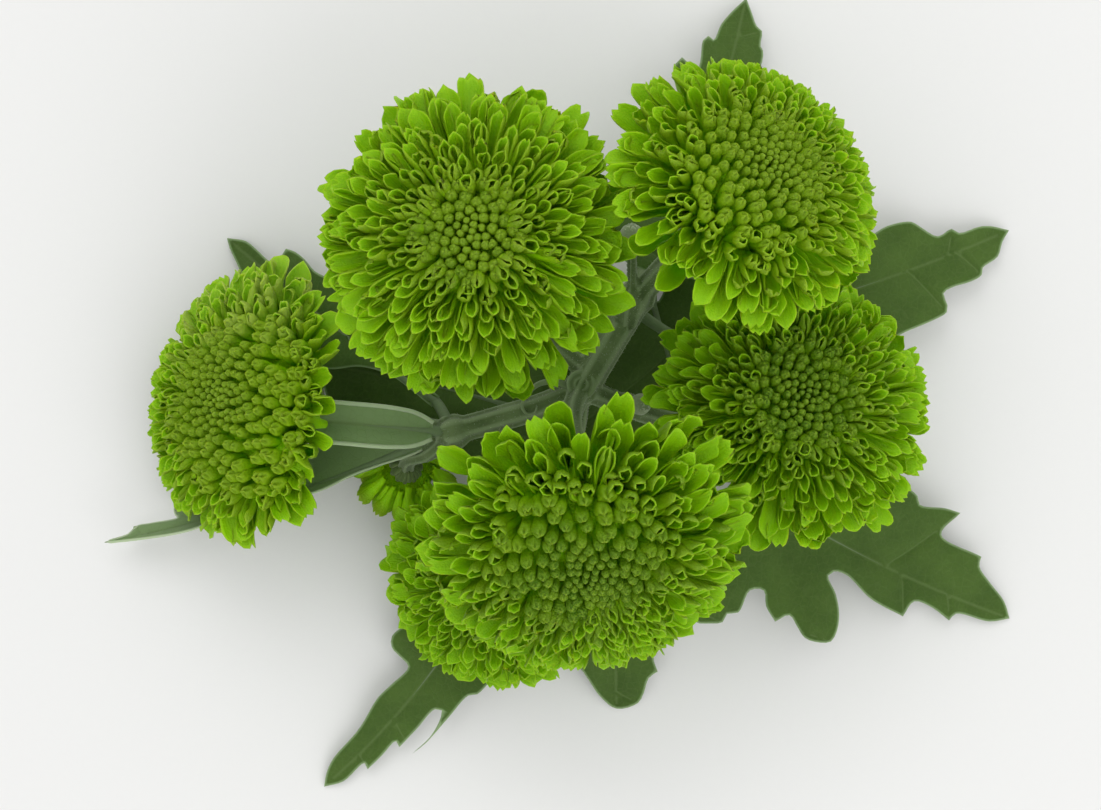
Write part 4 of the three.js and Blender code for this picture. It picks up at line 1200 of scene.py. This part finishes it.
def leafMaterial():
    look = leafFinish
    material, tree, shader = newMaterial(
        "feltedLeaf", look["roughness"], Subsurface_Weight=0.12, Subsurface_Scale=0.001,
        Subsurface_Radius=(0.5, 1.0, 0.2), Specular_IOR_Level=0.2, Sheen_Weight=0.05, Sheen_Roughness=0.6)
    vein, fromEdge, under, pale, rolled = readings(tree, "vein", "edge", "under", "pale", "rolled")
    broad, fine = noise(tree, look["blotches"], 3.0), noise(tree, look["felt"], 3.0)
    shade = sums(tree, "ADD", times(tree, broad, 0.7), times(tree, fine, 0.35))
    colour = mixed(tree, between(tree, shade, 0.3, 0.75), look["deep"], look["middle"])
    # partly painted light: the leaves given pale are painted paler, also to brighten them in the blooms'
    # shadow
    colour = overlaid(tree, colour, look["pale"], 0.85, pale)
    net = addNode(tree, "ShaderNodeTexVoronoi", {"Scale": 1 / (look["netSize"] * millimetre)},
                  feature="DISTANCE_TO_EDGE")
    tree.links.new(addNode(tree, "ShaderNodeTexCoord").outputs["Object"], net.inputs["Vector"])
    lines = between(tree, net.outputs["Distance"], 0.09, 0.0)
    colour = overlaid(tree, colour, look["vein"], 0.12, lines)
    colour = overlaid(tree, colour, look["vein"], 0.5, between(tree, vein, 0.35, 1.0))
    colour = overlaid(tree, colour, look["under"], 0.7, under)
    # pale rim along every leaf edge: partly the real woolly margin and partly painted rim light
    rim = times(tree, between(tree, fromEdge, 0.45, 0.0), 0.8)
    colour = mixed(tree, rim, colour, mixed(tree, rolled, look["edge"], look["margin"]))
    tree.links.new(colour, shader.inputs["Base Color"])
    relief = sums(tree, "SUBTRACT", times(tree, fine, 0.6), times(tree, lines, 0.5))
    addBump(tree, shader, relief, 0.4, 0.12)
    return material


stemFinish = {
    "deep": (0.085, 0.13, 0.045),
    "middle": (0.14, 0.2, 0.08),
    "ridge": (0.25, 0.33, 0.17),
    "pith": (0.4, 0.42, 0.25),
    "hair": (0.45, 0.5, 0.36),
    "roughness": 0.78,
    "blotches": 260.0,       # to a metre
    "wool": 3200.0,
}


def stemMaterial():
    look = stemFinish
    material, tree, shader = newMaterial(
        "woollyStem", look["roughness"], Specular_IOR_Level=0.2, Sheen_Weight=0.2, Sheen_Roughness=0.5)
    ridge, pith, hair = readings(tree, "ridge", "pith", "hair")
    broad, fine = noise(tree, look["blotches"], 3.0), noise(tree, look["wool"], 3.0)
    colour = mixed(tree, between(tree, broad, 0.3, 0.7), look["deep"], look["middle"])
    colour = overlaid(tree, colour, look["ridge"], 0.7, between(tree, ridge, -0.2, 1.0))
    colour = overlaid(tree, colour, look["ridge"], 0.4, between(tree, fine, 0.55, 0.75))
    colour = overlaid(tree, colour, look["pith"], 0.7, pith)
    colour = mixed(tree, hair, colour, look["hair"])
    tree.links.new(colour, shader.inputs["Base Color"])
    addBump(tree, shader, fine, 0.4, 0.15)
    return material


bractFinish = {
    "middle": (0.13, 0.21, 0.045),
    "rib": (0.08, 0.14, 0.03),
    "margin": (0.34, 0.4, 0.2),
    "roughness": 0.7,
    "paler": 0.2,            # how far it turns to the margin's colour all over
    "woolly": 0.2,
    "wool": 2600.0,          # tufts to a metre
}
budFinish = {
    "middle": (0.2, 0.27, 0.12),
    "rib": (0.12, 0.18, 0.06),
    "margin": (0.52, 0.58, 0.42),
    "roughness": 0.7,
    "paler": 0.45,
    "woolly": 0.25,
    "wool": 2600.0,
}


# Bracts and buds: a green rib, with pale dry margins
def bractMaterial(name, look):
    material, tree, shader = newMaterial(
        name, look["roughness"], Specular_IOR_Level=0.25, Sheen_Weight=look["woolly"], Sheen_Roughness=0.5)
    along, across, tone = readings(tree, "along", "across", "tone")
    side = sums(tree, "ABSOLUTE", across)
    fine = noise(tree, look["wool"], 3.0)
    colour = mixed(tree, between(tree, side, 0.1, 0.5), look["rib"], look["middle"])
    margin = sums(tree, "MAXIMUM", between(tree, side, 0.55, 0.95), between(tree, along, 0.8, 1.0))
    colour = overlaid(tree, colour, look["margin"], 0.75, margin)
    shade = sums(tree, "ADD", times(tree, tone, 0.4), fine)
    colour = overlaid(tree, colour, look["margin"], look["paler"], shade)
    tree.links.new(colour, shader.inputs["Base Color"])
    addBump(tree, shader, fine, 0.4, 0.12)
    return material


petalSkin = floretMaterial()
bractSkin = bractMaterial("greenBract", bractFinish)
for key in blooms:
    makeBloom(key, petalSkin)
    makeCup(key, bractSkin)
print("blooms and their cups made")

makeStem(stemMaterial())
budSkin = bractMaterial("woollyBud", budFinish)
for name in buds:
    makeBud(name, budSkin)
print("stem and buds made")

leafSkin = leafMaterial()
for name in leaves:
    makeLeaf(name, leafSkin)
print("leaves made")


studio = {
    "floorHalf": 2.0,        # metres, as are the lamps' sizes and places
    "floorColour": (0.78, 0.78, 0.77),
    "floorPatch": (0.7, 0.7, 0.7),
    "floorGrain": 900.0,     # to a metre
    "lamps": {
        "keyLight": {"power": 1.2, "size": 0.5, "at": (-0.12, 0.55, 0.75)},
        "fillLight": {"power": 1.6, "size": 0.7, "at": (0.4, -0.5, 0.7)},
    },
    "lampsAim": (0, 0, 0.03),
    "sky": 0.98,
    "cameraHeight": 495,     # millimetres
    "lens": 100,
}


def makeFloor():
    mesh = bpy.data.meshes.new("floor")
    half = studio["floorHalf"]
    corners = [(-half, -half, 0), (half, -half, 0), (half, half, 0), (-half, half, 0)]
    mesh.from_pydata(corners, [], [(0, 1, 2, 3)])
    material, tree, shader = newMaterial("paleFloor", 0.85)
    grain = noise(tree, studio["floorGrain"], 4.0)
    colour = mixed(tree, times(tree, grain, 0.15), studio["floorColour"], studio["floorPatch"])
    tree.links.new(colour, shader.inputs["Base Color"])
    mesh.materials.append(material)
    newObject("floor", mesh)


def makeStudio():
    makeFloor()
    for name, lamp in studio["lamps"].items():
        light = bpy.data.lights.new(name, "AREA")
        light.energy, light.size = lamp["power"], lamp["size"]
        made = newObject(name, light)
        made.location = lamp["at"]
        way = Vector(studio["lampsAim"]) - Vector(lamp["at"])
        made.rotation_euler = way.to_track_quat("-Z", "Y").to_euler()
    scene = bpy.context.scene
    scene.world = bpy.data.worlds.new("studioSky")
    scene.world.use_nodes = True
    sky = scene.world.node_tree.nodes["Background"]
    sky.inputs["Color"].default_value = (1, 1, 1, 1)
    sky.inputs["Strength"].default_value = studio["sky"]
    scene.view_settings.view_transform = "Standard"
    lens = bpy.data.cameras.new("camera")
    lens.lens, lens.sensor_width, lens.sensor_fit, lens.clip_start = studio["lens"], 36, "HORIZONTAL", 0.01
    scene.camera = newObject("camera", lens)
    place = (-sprayMiddle[0], -sprayMiddle[1], studio["cameraHeight"])
    scene.camera.location = Vector(place) * millimetre


makeStudio()
print("studio made")
